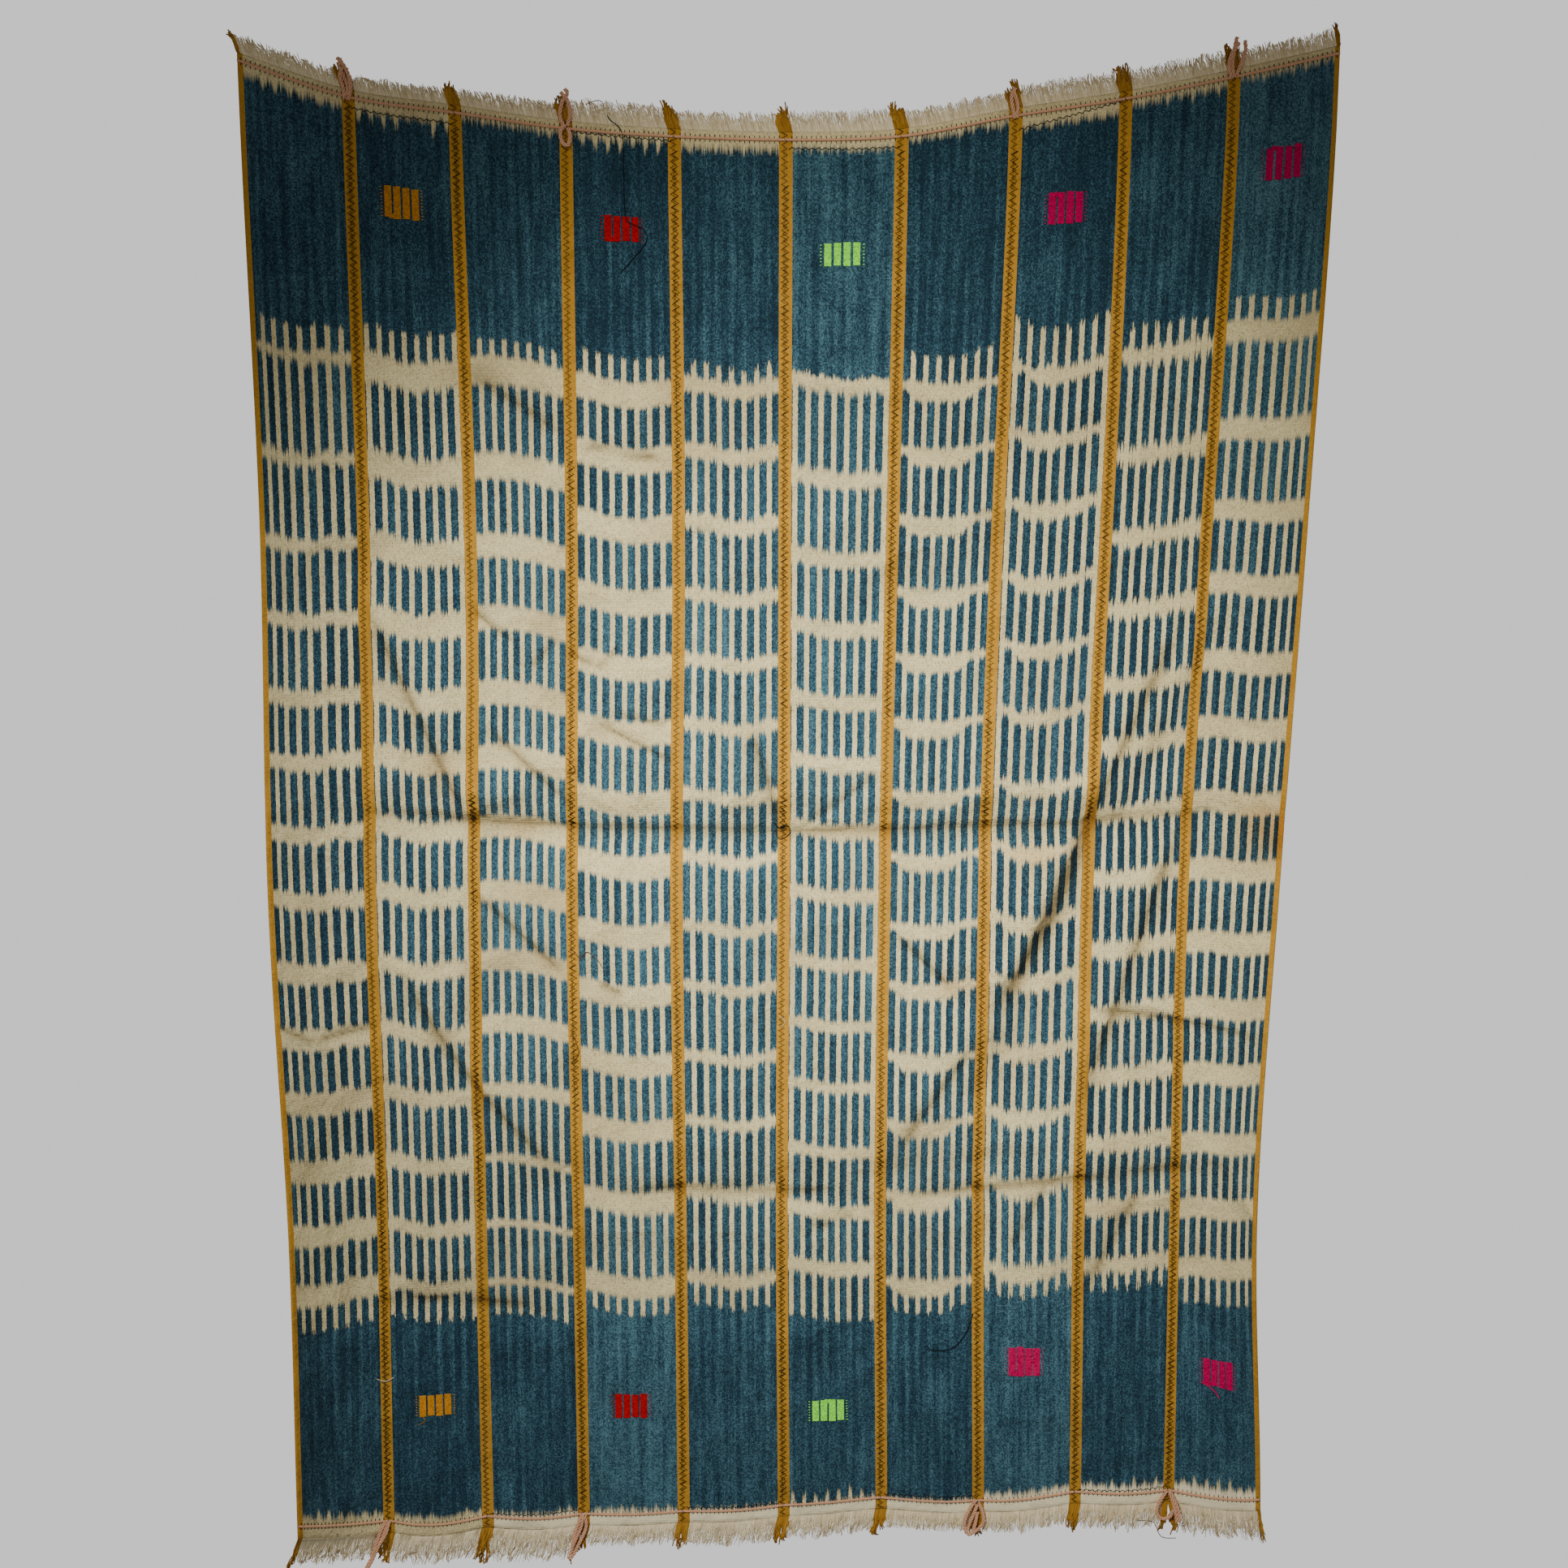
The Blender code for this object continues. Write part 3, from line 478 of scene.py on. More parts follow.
def strip_sheet(index, dye):
    """One strip as a grid with two columns to a stripe, what the dye did at each point, and where shade and
    light are painted on it.
    """
    stripe = np.arange(-1.0, STRIPES + 1.1, 0.5)
    left = LEFT_SELVEDGE * (OUTER_LEFT if index == 0 else 1.0)
    right = RIGHT_SELVEDGE * (OUTER_RIGHT if index == len(DYES) - 1 else 1.0)
    inner = STRIPE * STRIPES + left + right
    distance = np.where(stripe < 0, left * (1 + stripe), left + stripe * STRIPE)
    distance = np.where(stripe > STRIPES, inner - right * (STRIPES + 1 - stripe), distance)
    # just inside the seams, so that every point counts as its own strip's
    share = 0.0001 + 0.9998 * distance / inner
    # the rows lie closer together across the creased middle
    gone = np.interp(np.linspace(0, 1, ROWS), (0, 0.22, 0.80, 1), (0, 0.30, 0.70, 1))
    place = np.repeat((index + share)[None, :], ROWS, 0)
    top, bottom = top_height(place.ravel()), bottom_height(np.minimum(place.ravel(), index + 0.9999))
    down = np.repeat(gone[:, None], len(stripe), 1).ravel()
    place, height = place.ravel(), top + (bottom - top) * down
    stripes = np.repeat(stripe[None, :], ROWS, 0).ravel()
    points = cloth_point(place, height)

    below = -1000 * height
    first_blue = 1.0 if dye.cream_first else 0.0
    slips = smooth(dye.slips, (stripes - first_blue - 0.5) / 2)
    for tilt, start, run in TILTS.get(index, ()):
        slips = slips + tilt * (stripes / STRIPES - 0.5) * ease((below - start) / run)
    slips = slips + smooth(DRIFTS[index], (below - DRIFT_START) / DRIFT_STEP)
    lower = below - slips
    steps = TIE_STEPS[::-1] if dye.turned else TIE_STEPS
    centres = np.concatenate([[0], np.cumsum(steps)]) * (dye.last - dye.first) / sum(steps) + dye.first
    centres = np.concatenate([[dye.first - PLAIN_STEP], centres, [dye.last + PLAIN_STEP]])
    numbers = np.arange(-1, len(centres) - 1)
    tie = np.interp(lower, centres, numbers)
    tie = np.where(lower < centres[0], -1 + (lower - centres[0]) / PLAIN_STEP, tie)
    tie = np.where(lower > centres[-1], numbers[-1] + (lower - centres[-1]) / PLAIN_STEP, tie)
    pitch = np.interp(lower, 0.5 * (centres[1:] + centres[:-1]), np.diff(centres))
    width = smooth(dye.widths, tie * (len(dye.widths) - 1) / len(steps))
    if index in NARROWED:
        first, shares = NARROWED[index]
        width = width * smooth(shares, (stripes - first) / 2)
    hem_top = 1000 * (top - height) - dye.hems[0]
    hem_bottom = 1000 * (height - bottom) - dye.hems[1]
    hem = np.minimum(hem_top, hem_bottom)
    teeth = np.where(hem_top < hem_bottom, *dye.teeth)
    # how near each point lies to a crease's crest, where the material paints shade
    crest = sum(ends * near**5 for near, ends in (near_fold(points[:, 0], height, c) for c in CREASES))
    band = np.minimum(lower - dye.top, dye.bottom - lower)
    folded = ease(1 - np.abs(below - FOLD_PALE_DEPTH) / FOLD_PALE_REACH) * (2 <= index <= 6)
    pale = smooth(dye.pale, np.interp(below, PALE_DEPTHS, (0, 1, 2, 3))) + FOLD_PALE * folded
    stain = sum(strong * np.exp(-((points[:, 0] - x) ** 2 + (height - z) ** 2) / wide**2)
                for x, z, wide, strong in STAINS)
    # no two strips share their stripes' or ties' numbers, which the random patterns start from
    values = {
        "stripe": stripes + first_blue + 40 * (index + 1),
        "run": -height,
        "tie": tie + 20 * (index + 1),
        "gap": 0.5 * width / pitch,
        "band": 0.001 * band,
        "hem": 0.001 * hem,
        "teeth": 0.001 * teeth,
        "crest": np.clip(crest, 0, 1),
        "stain": stain,
        # painted light on the bottom hems, from the third strip on
        "clean": ease((4 - hem_bottom) / 6) * (index >= 2),
        "gold": STRIPE * np.minimum(stripes, STRIPES - stripes),
        "pale": pale,
        "brush": np.full(len(height), dye.brush),
    }
    columns = len(stripe)
    grid = np.arange(ROWS * columns).reshape(ROWS, columns)
    faces = np.stack([grid[:-1, :-1], grid[1:, :-1], grid[1:, 1:], grid[:-1, 1:]], -1).reshape(-1, 4)
    mesh = bpy.data.meshes.new(f"woven_strip_{index + 1:02d}")
    mesh.from_pydata(points.tolist(), [], faces.tolist())
    for name, value in values.items():
        mesh.attributes.new(name, "FLOAT", "POINT").data.foreach_set("value", value.astype(np.float32))
    layer = mesh.uv_layers.new(name="UVMap")
    corners = np.stack([np.tile(distance, ROWS), height - bottom], -1)
    loops = np.empty(len(mesh.loops), int)
    mesh.loops.foreach_get("vertex_index", loops)
    layer.data.foreach_set("uv", corners[loops].astype(np.float32).ravel())
    mesh.materials.append(cloth)
    mesh.shade_smooth()
    return mesh


for index, dye in enumerate(DYES):
    mesh = strip_sheet(index, dye)
    strip = bpy.data.objects.new(mesh.name, mesh)
    bpy.context.scene.collection.objects.link(strip)
    solid = strip.modifiers.new("Thickness", "SOLIDIFY")
    solid.thickness = CLOTH_THICK
    solid.offset = 0.0
    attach(strip, "root")
    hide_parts(f"strip_{index + 1:02d}")

# The sewn seams: the strips are joined edge to edge by machine with a dark zigzag that bites a
# little of both gold selvedges and shows on the back too. Many stretches were sewn twice, so
# the two threads cross there.

SEAM_STEP, SEAM_HALF_WIDTH, SEAM_THREAD, SEAM_LIFT = 0.0029, 0.0027, 0.00042, 0.0007
SECOND_STEP, SECOND_THREAD, SECOND_LIFT = 0.0033, 0.00036, 0.0010
# Where the two rows run, as a share of a strip from the seam, and how finely they follow it
SEAM_ASIDE, SECOND_ASIDE = -0.005, 0.010
SEAM_PATH_STEP = 0.003
NAVY_THREAD = 0x10161B
BROWN_THREAD = 0x2A1E12

# Sewn twice: the seam, and between which heights
TWICE = (
    (1, 0.02, -0.42), (1, -0.95, -1.36), (2, 0.00, -0.30), (2, -0.62, -1.05), (3, -0.30, -0.95),
    (3, -1.15, -1.37), (4, -0.02, -0.35), (4, -0.80, -1.36), (5, -0.05, -0.72), (5, -1.02, -1.37),
    (6, -0.02, -0.55), (6, -0.90, -1.36), (7, -0.02, -0.28), (7, -0.55, -1.36), (8, -0.02, -0.62),
    (8, -0.98, -1.34), (9, 0.00, -0.50), (9, -0.85, -1.34),
)

# Thin spun sewing cotton: matt and nearly black, worn from navy to brown in places
cotton_thread, tree, shader = new_material("dark sewing cotton", roughness=0.8)
place = add(tree, "ShaderNodeTexCoord").outputs["Object"]
wear_and_crease_shade = add(tree, "ShaderNodeTexNoise", {"Vector": place, "Scale": 60.0, "Detail": 2.0})
wear_and_crease_shade = add(tree, "ShaderNodeMapRange", {"Value": wear_and_crease_shade, "From Min": 0.45, "From Max": 0.7})
wear_and_crease_shade = add(tree, "ShaderNodeMix", {0: wear_and_crease_shade, 6: colour(NAVY_THREAD), 7: colour(BROWN_THREAD)},
           data_type="RGBA")
tree.links.new(wear_and_crease_shade.outputs[2], shader.inputs["Base Color"])


def new_tree(name, sizes):
    """An empty node tree for a path, with its sizes as named inputs."""
    tree = bpy.data.node_groups.new(name, "GeometryNodeTree")
    tree.interface.new_socket(name="Path", in_out="INPUT", socket_type="NodeSocketGeometry")
    tree.interface.new_socket(name="Piece", in_out="OUTPUT", socket_type="NodeSocketGeometry")
    for label, kind in sizes.items():
        tree.interface.new_socket(name=label, in_out="INPUT", socket_type=f"NodeSocket{kind}")
    return tree, add(tree, "NodeGroupInput").outputs


def path_mesh(name, lines):
    """A mesh of open lines. Each line is its points and the named values or directions there."""
    mesh = bpy.data.meshes.new(name)
    points, edges, start = [], [], 0
    for line, _ in lines:
        points.extend(np.asarray(line).tolist())
        edges.extend((start + step, start + step + 1) for step in range(len(line) - 1))
        start += len(line)
    mesh.from_pydata(points, edges, [])
    for key in lines[0][1]:
        value = np.concatenate([np.asarray(extra[key], float) for _, extra in lines])
        if value.ndim == 2:
            layer = mesh.attributes.new(key, "FLOAT_VECTOR", "POINT")
            layer.data.foreach_set("vector", value.astype(np.float32).ravel())
        else:
            layer = mesh.attributes.new(key, "FLOAT", "POINT")
            layer.data.foreach_set("value", value.astype(np.float32))
    return mesh


def sewn_line(places, heights, lift=0.0):
    """Points on the cloth's front with the directions across them and out of them."""
    places, heights = np.asarray(places, float), np.asarray(heights, float)
    points = cloth_point(places, heights, lift)
    out = cloth_point(places, heights, lift + 1.0) - points
    side = np.cross(out, np.gradient(points, axis=0))
    side /= np.linalg.norm(side, axis=1)[:, None]
    return points, {"side": side, "out": out}


def end_tree(tree, line, given, sides, **more):
    """Lays a round thread along the lines, makes it plain and ends the tree."""
    ring = add(tree, "GeometryNodeCurvePrimitiveCircle",
               {"Resolution": sides, "Radius": given["Thickness"]})
    line = add(tree, "GeometryNodeCurveToMesh", {"Curve": line, "Profile Curve": ring, **more})
    line = add(tree, "GeometryNodeRealizeInstances", {0: line})
    line = add(tree, "GeometryNodeSetMaterial", {"Geometry": line, "Material": given["Material"]})
    add(tree, "NodeGroupOutput", {"Piece": line})


def run_tree(mesh, tree, sizes):
    """Runs a node tree on a path and keeps the result as a plain mesh that rides on the cloth."""
    name = mesh.name
    piece = bpy.data.objects.new(name, mesh)
    bpy.context.scene.collection.objects.link(piece)
    modifier = piece.modifiers.new("Made by nodes", "NODES")
    modifier.node_group = tree
    for item in tree.interface.items_tree:
        if item.in_out == "INPUT" and item.name in sizes:
            modifier[item.identifier] = sizes[item.name]
    bpy.context.view_layer.update()
    made = bpy.data.meshes.new_from_object(piece.evaluated_get(bpy.context.evaluated_depsgraph_get()))
    made.name = name
    piece.modifiers.remove(modifier)
    piece.data = made
    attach(piece, "root")
    return piece


# the zigzag: points set alternately left and right of the path, and a thread along them
zigzag, given = new_tree("zigzag thread", {
    "Step": "Float", "Half width": "Float", "Lift": "Float", "Thickness": "Float",
    "Uneven": "Float", "Seed": "Int", "Material": "Material"})
line = add(zigzag, "GeometryNodeMeshToCurve", {0: given["Path"]})
line = add(zigzag, "GeometryNodeResampleCurve", {"Curve": line, "Length": given["Step"]}, mode="LENGTH")
count = add(zigzag, "GeometryNodeInputIndex")
turn = add(zigzag, "ShaderNodeMath", {0: count, 1: 2.0}, operation="MODULO")
turn = add(zigzag, "ShaderNodeMath", {0: turn, 1: 2.0, 2: -1.0}, operation="MULTIPLY_ADD")
reach = add(zigzag, "ShaderNodeMath", {0: turn, 1: given["Half width"]}, operation="MULTIPLY")
side = add(zigzag, "GeometryNodeInputNamedAttribute", {"Name": "side"}, data_type="FLOAT_VECTOR")
out = add(zigzag, "GeometryNodeInputNamedAttribute", {"Name": "out"}, data_type="FLOAT_VECTOR")
side = add(zigzag, "ShaderNodeVectorMath", {0: side, "Scale": reach}, operation="SCALE")
out = add(zigzag, "ShaderNodeVectorMath", {0: out, "Scale": given["Lift"]}, operation="SCALE")
shift = add(zigzag, "ShaderNodeVectorMath", {0: side, 1: out}, operation="ADD")
wander = add(zigzag, "FunctionNodeRandomValue",
             {0: (-1.0, 0.0, -1.0), 1: (1.0, 0.0, 1.0), "Seed": given["Seed"]}, data_type="FLOAT_VECTOR")
wander = add(zigzag, "ShaderNodeVectorMath", {0: wander, "Scale": given["Uneven"]}, operation="SCALE")
shift = add(zigzag, "ShaderNodeVectorMath", {0: shift, 1: wander}, operation="ADD")
line = add(zigzag, "GeometryNodeSetPosition", {"Geometry": line, "Offset": shift})
end_tree(zigzag, line, given, 4)

for seam in range(1, len(DYES)):
    top, bottom = top_height(seam) - 0.003, bottom_height(seam) + 0.002
    heights = np.arange(top, bottom, -SEAM_PATH_STEP)
    once = [sewn_line(np.full(len(heights), seam + SEAM_ASIDE), heights)]
    again = []
    for where, start, end in TWICE:
        if where == seam:
            heights = np.arange(start, end, -SEAM_PATH_STEP)
            again.append(sewn_line(np.full(len(heights), seam + SECOND_ASIDE), heights))
    for face, way in (("", 1), ("back_", -1)):
        run_tree(path_mesh(f"seam_zigzag_{face}{seam}", once), zigzag, {
            "Step": SEAM_STEP, "Half width": SEAM_HALF_WIDTH, "Lift": way * SEAM_LIFT,
            "Thickness": SEAM_THREAD, "Uneven": 0.00035, "Seed": seam,
            "Material": cotton_thread})
        run_tree(path_mesh(f"seam_second_zigzag_{face}{seam}", again), zigzag, {
            "Step": SECOND_STEP, "Half width": -SEAM_HALF_WIDTH, "Lift": way * SECOND_LIFT,
            "Thickness": SECOND_THREAD, "Uneven": 0.0004, "Seed": 20 + seam,
            "Material": cotton_thread})

# The hem yarn: a flat two-ply peach yarn lies along both cream hems and is couched down with
# small dark stitches. Beside it, on every other strip, runs the dark zigzag that finished the
# hem.

# How far in from the woven edges the yarn lies
HEM_TOP, HEM_BOTTOM = 0.0100, 0.0160
YARN_PLY = 0.00075
YARN_TWIST = 0.0045
TICK_STEP = 0.0044
PEACH = 0xE6B690
PEACH_DEEP = 0xC48C62

# Soft two-ply cotton: matt and a little fuzzy, deeper in the grooves between its plies
yarn_cotton, tree, shader = new_material("peach two-ply cotton yarn", roughness=0.88, sheen=0.03)
place = add(tree, "ShaderNodeTexCoord").outputs["Object"]
fuzz = add(tree, "ShaderNodeTexNoise", {"Vector": place, "Scale": 420.0, "Detail": 3.0})
tone = add(tree, "ShaderNodeMix", {0: fuzz, 6: colour(PEACH_DEEP), 7: colour(PEACH)}, data_type="RGBA")
fuzz = add(tree, "ShaderNodeBump", {"Strength": 0.5, "Distance": 0.0003, "Height": fuzz})
tree.links.new(tone.outputs[2], shader.inputs["Base Color"])
tree.links.new(fuzz.outputs[0], shader.inputs["Normal"])

# the yarn: copies of the path that wind round it, each with a round thread
twisted, given = new_tree("twisted yarn", {
    "Step": "Float", "Plies": "Int", "Spread": "Float", "Twist": "Float", "Lift": "Float",
    "Thickness": "Float", "Material": "Material"})
line = add(twisted, "GeometryNodeMeshToCurve", {0: given["Path"]})
line = add(twisted, "GeometryNodeResampleCurve", {"Curve": line, "Length": given["Step"]}, mode="LENGTH")
plies = add(twisted, "GeometryNodeDuplicateElements", {"Geometry": line, "Amount": given["Plies"]},
            domain="SPLINE")
ply = add(twisted, "ShaderNodeMath", {0: plies.outputs["Duplicate Index"], 1: given["Plies"]},
          operation="DIVIDE")
gone = add(twisted, "GeometryNodeSplineParameter")
turns = add(twisted, "ShaderNodeMath", {0: gone.outputs["Length"], 1: given["Twist"]}, operation="DIVIDE")
turns = add(twisted, "ShaderNodeMath", {0: turns, 1: ply}, operation="ADD")
turns = add(twisted, "ShaderNodeMath", {0: turns, 1: 2 * math.pi}, operation="MULTIPLY")
sine = add(twisted, "ShaderNodeMath", {0: turns}, operation="SINE")
cosine = add(twisted, "ShaderNodeMath", {0: turns}, operation="COSINE")
sine = add(twisted, "ShaderNodeMath", {0: sine, 1: given["Spread"]}, operation="MULTIPLY")
cosine = add(twisted, "ShaderNodeMath", {0: cosine, 1: given["Spread"]}, operation="MULTIPLY")
rise = add(twisted, "ShaderNodeMath", {0: sine, 1: given["Lift"]}, operation="ADD")
side = add(twisted, "GeometryNodeInputNamedAttribute", {"Name": "side"}, data_type="FLOAT_VECTOR")
out = add(twisted, "GeometryNodeInputNamedAttribute", {"Name": "out"}, data_type="FLOAT_VECTOR")
side = add(twisted, "ShaderNodeVectorMath", {0: side, "Scale": cosine}, operation="SCALE")
out = add(twisted, "ShaderNodeVectorMath", {0: out, "Scale": rise}, operation="SCALE")
shift = add(twisted, "ShaderNodeVectorMath", {0: side, 1: out}, operation="ADD")
line = add(twisted, "GeometryNodeSetPosition", {"Geometry": plies, "Offset": shift})
end_tree(twisted, line, given, 5)

# a row of stitches: an arched thread laid across the path at every step
stitches, given = new_tree("row of stitches", {
    "Step": "Float", "Width": "Float", "Arch": "Float", "Lift": "Float", "Thickness": "Float",
    "Uneven": "Float", "Seed": "Int", "Material": "Material"})
line = add(stitches, "GeometryNodeMeshToCurve", {0: given["Path"]})
line = add(stitches, "GeometryNodeResampleCurve", {"Curve": line, "Length": given["Step"]}, mode="LENGTH")
side = add(stitches, "GeometryNodeInputNamedAttribute", {"Name": "side"}, data_type="FLOAT_VECTOR")
out = add(stitches, "GeometryNodeInputNamedAttribute", {"Name": "out"}, data_type="FLOAT_VECTOR")
facing = add(stitches, "FunctionNodeAxesToRotation", {0: out, 1: side},
             primary_axis="Z", secondary_axis="X")
raised = add(stitches, "ShaderNodeVectorMath", {0: out, "Scale": given["Lift"]}, operation="SCALE")
low = add(stitches, "ShaderNodeMath", {0: 1.0, 1: given["Uneven"]}, operation="SUBTRACT")
high = add(stitches, "ShaderNodeMath", {0: 1.0, 1: given["Uneven"]}, operation="ADD")
vary = add(stitches, "FunctionNodeRandomValue", {2: low, 3: high, "Seed": given["Seed"]},
           data_type="FLOAT").outputs[1]
wide = add(stitches, "ShaderNodeMath", {0: vary, 1: given["Width"]}, operation="MULTIPLY")
size = add(stitches, "ShaderNodeCombineXYZ", {0: wide, 1: wide, 2: given["Arch"]})
arch = add(stitches, "GeometryNodeCurveQuadraticBezier",
           {"Resolution": 5, "Start": (-0.5, 0, 0), "Middle": (0, 0, 2), "End": (0.5, 0, 0)})
line = add(stitches, "GeometryNodeSetPosition", {"Geometry": line, "Offset": raised})
line = add(stitches, "GeometryNodeInstanceOnPoints",
           {"Points": line, "Instance": arch, "Rotation": facing, "Scale": size})
line = add(stitches, "GeometryNodeRealizeInstances", {0: line})
end_tree(stitches, line, given, 5, **{"Fill Caps": True})

# The hem's own zigzag: below the yarn at the top of these strips, and above it at the
# bottom of those, with how far from the yarn it starts and ends
HEM_ZIGZAGS = {
    True: ((1, 0.008, 0.009), (3, 0.001, 0.003), (5, 0.0065, 0.008), (7, 0.012, 0.000)),
    False: ((2, 0.002, 0.004), (4, 0.003, 0.002), (6, 0.003, 0.004), (8, 0.001, 0.003)),
}

COUCHING_OUT = 0.0023
for at_top in (True, False):
    end = "top" if at_top else "bottom"
    edge, inwards, drop = (top_height, -1, HEM_TOP) if at_top else (bottom_height, 1, HEM_BOTTOM)
    yarn_lines, tick_lines, zigzag_lines = [], [], []
    for index in range(len(DYES)):
        places = index + np.linspace(0.005, 0.995, 41)
        heights = edge(places) + inwards * drop
        yarn_lines.append(sewn_line(places, heights))
        places = index + np.linspace(0.06, 0.95, 41)
        heights = edge(places) + inwards * drop
        tick_lines.append(sewn_line(places, heights + COUCHING_OUT))
        tick_lines.append(sewn_line(places, heights - COUCHING_OUT))
    for index, start, finish in HEM_ZIGZAGS[at_top]:
        places = index + np.linspace(0.03, 0.99, 41)
        heights = edge(places) + inwards * (drop + np.linspace(start, finish, 41) + 0.001)
        zigzag_lines.append(sewn_line(places, heights))
    run_tree(path_mesh(f"hem_yarn_{end}", yarn_lines), twisted, {
        "Step": 0.0006, "Plies": 2, "Spread": 0.0006, "Twist": YARN_TWIST, "Lift": 0.0014,
        "Thickness": YARN_PLY, "Material": yarn_cotton})
    run_tree(path_mesh(f"hem_couching_{end}", tick_lines), stitches, {
        "Step": TICK_STEP, "Width": 0.0020, "Arch": 0.0001, "Lift": 0.0006, "Thickness": 0.00036,
        "Uneven": 0.3, "Seed": 3, "Material": cotton_thread})
    run_tree(path_mesh(f"hem_zigzag_{end}", zigzag_lines), zigzag, {
        "Step": 0.0030, "Half width": 0.0010, "Lift": 0.0007, "Thickness": 0.00040,
        "Uneven": 0.0003, "Seed": 5, "Material": cotton_thread})

# The woven-in blocks: ten of them in thick coloured weft, laid in by hand while the strip was
# woven. Each has four ribbed bars, where the weft floats over the warp, and a row of small
# dots down both sides.

Block = namedtuple("Block", "name place height tall wide pitch tilt")
BLOCKS = (
    Block("gold_top", 1.480, -0.066, 0.028, 0.0064, 0.0087, -0.10),
    Block("red_top", 3.510, -0.089, 0.022, 0.0064, 0.0085, -0.09),
    Block("green_top", 5.505, -0.112, 0.0195, 0.0064, 0.0085, 0.02),
    Block("magenta_top_left", 7.485, -0.070, 0.027, 0.0064, 0.0083, 0.10),
    Block("magenta_top_right", 9.455, -0.030, 0.029, 0.0062, 0.0078, 0.12),
    Block("gold_bottom", 1.510, -1.257, 0.022, 0.0066, 0.0084, -0.02),
    Block("red_bottom", 3.500, -1.265, 0.025, 0.0068, 0.0084, 0.02),
    Block("green_bottom", 5.465, -1.274, 0.0225, 0.0068, 0.0086, 0.02),
    Block("magenta_bottom_left", 7.475, -1.213, 0.030, 0.0070, 0.0082, 0.03),
    Block("magenta_bottom_right", 9.495, -1.214, 0.029, 0.0066, 0.0080, 0.03),
)
# Where a bar's weft was carried over to the next: the block, the gap and how far up the bars
CARRIED = (
    ("gold_top", 0, -0.44), ("magenta_bottom_left", 0, -0.46), ("magenta_bottom_left", 2, 0.02),
    ("magenta_top_right", 0, 0.46), ("magenta_top_left", 0, 0.46),
    ("magenta_bottom_right", 0, -0.42), ("red_top", 0, -0.45), ("green_bottom", 1, 0.47),
)
BLOCK_COLOURS = {"gold": 0xD08C1C, "red": 0xB80204, "green": 0xA0FF50, "magenta": 0xC80052}
FLOAT_STEP, FLOAT_THICK = 0.0009, 0.0005
DOT_STEP, DOTS_ASIDE = 0.0028, 0.0030

# Thick soft-spun cotton: matt and strongly coloured, darker between its fibres
for name, value in BLOCK_COLOURS.items():
    weft, tree, shader = new_material(f"{name} inlaid weft", roughness=0.9)
    place = add(tree, "ShaderNodeTexCoord").outputs["Object"]
    fuzz = add(tree, "ShaderNodeTexNoise", {"Vector": place, "Scale": 500.0, "Detail": 3.0})
    dark = add(tree, "ShaderNodeMapRange",
               {"Value": fuzz, "From Min": 0.35, "From Max": 0.6, "To Min": 0.62})
    tone = add(tree, "ShaderNodeMix", {0: 1.0, 6: colour(value), 7: dark}, data_type="RGBA",
               blend_type="MULTIPLY")
    tree.links.new(tone.outputs[2], shader.inputs["Base Color"])
    for block in BLOCKS:
        if not block.name.startswith(name):
            continue
        draw = random.Random(block.name)
        bars, dots = [], []
        for bar in range(4):
            away = (bar - 1.5) * block.pitch
            tall = block.tall * draw.uniform(0.94, 1.04)
            middle = block.height + away * block.tilt + draw.uniform(-0.0006, 0.0006)
            heights = np.linspace(middle + 0.5 * tall, middle - 0.5 * tall, 12)
            bars.append(sewn_line(np.full(12, block.place + away / STRIP_WIDE), heights))
        for carried, gap, up in CARRIED:
            if carried == block.name:
                away = (gap - 1.0) * block.pitch
                heights = np.linspace(0.0016, -0.0016, 4) + (
                    block.height + away * block.tilt + up * block.tall)
                bars.append(sewn_line(np.full(4, block.place + away / STRIP_WIDE), heights, lift=0.0003))
        for bar in (-1, 1):
            away = bar * (1.5 * block.pitch + 0.5 * block.wide + DOTS_ASIDE)
            middle = block.height + away * block.tilt
            heights = np.linspace(middle + 0.46 * block.tall, middle - 0.46 * block.tall, 12)
            dots.append(sewn_line(np.full(12, block.place + away / STRIP_WIDE), heights))
        run_tree(path_mesh(f"inlay_{block.name}", bars), stitches, {
            "Step": FLOAT_STEP, "Width": block.wide, "Arch": 0.0004, "Lift": 0.0005,
            "Thickness": FLOAT_THICK, "Uneven": 0.05, "Seed": 7, "Material": weft})
        run_tree(path_mesh(f"inlay_dots_{block.name}", dots), stitches, {
            "Step": DOT_STEP, "Width": 0.0013, "Arch": 0.0001, "Lift": 0.0005, "Thickness": 0.00045,
            "Uneven": 0.25, "Seed": 9, "Material": weft})

# The frayed warp ends: the weft was pulled out at both ends, so the warp stands free in a
# short tousled fringe of cream threads, with the gold of the selvedges in longer wisps beside
# each seam.

FRINGES = (
    # top length, bottom length, lean of the bottom fringe to the right
    (0.013, 0.022, -0.35), (0.010, 0.024, -0.30), (0.012, 0.028, -0.30), (0.016, 0.016, -0.25),
    (0.012, 0.020, -0.20), (0.014, 0.019, -0.15), (0.011, 0.014, -0.15), (0.014, 0.016, -0.10),
    (0.013, 0.020, -0.15), (0.011, 0.023, 0.15),
)
FRINGE_THREADS, FRINGE_THICK = 350, 0.00034
WISP_EXTRA = 0.004
ROOT = 0.003  # how far the threads reach over the cloth at their roots
FRINGE_CREAM = 0xFFF0C6
FRINGE_SHADED = 0xCEB686

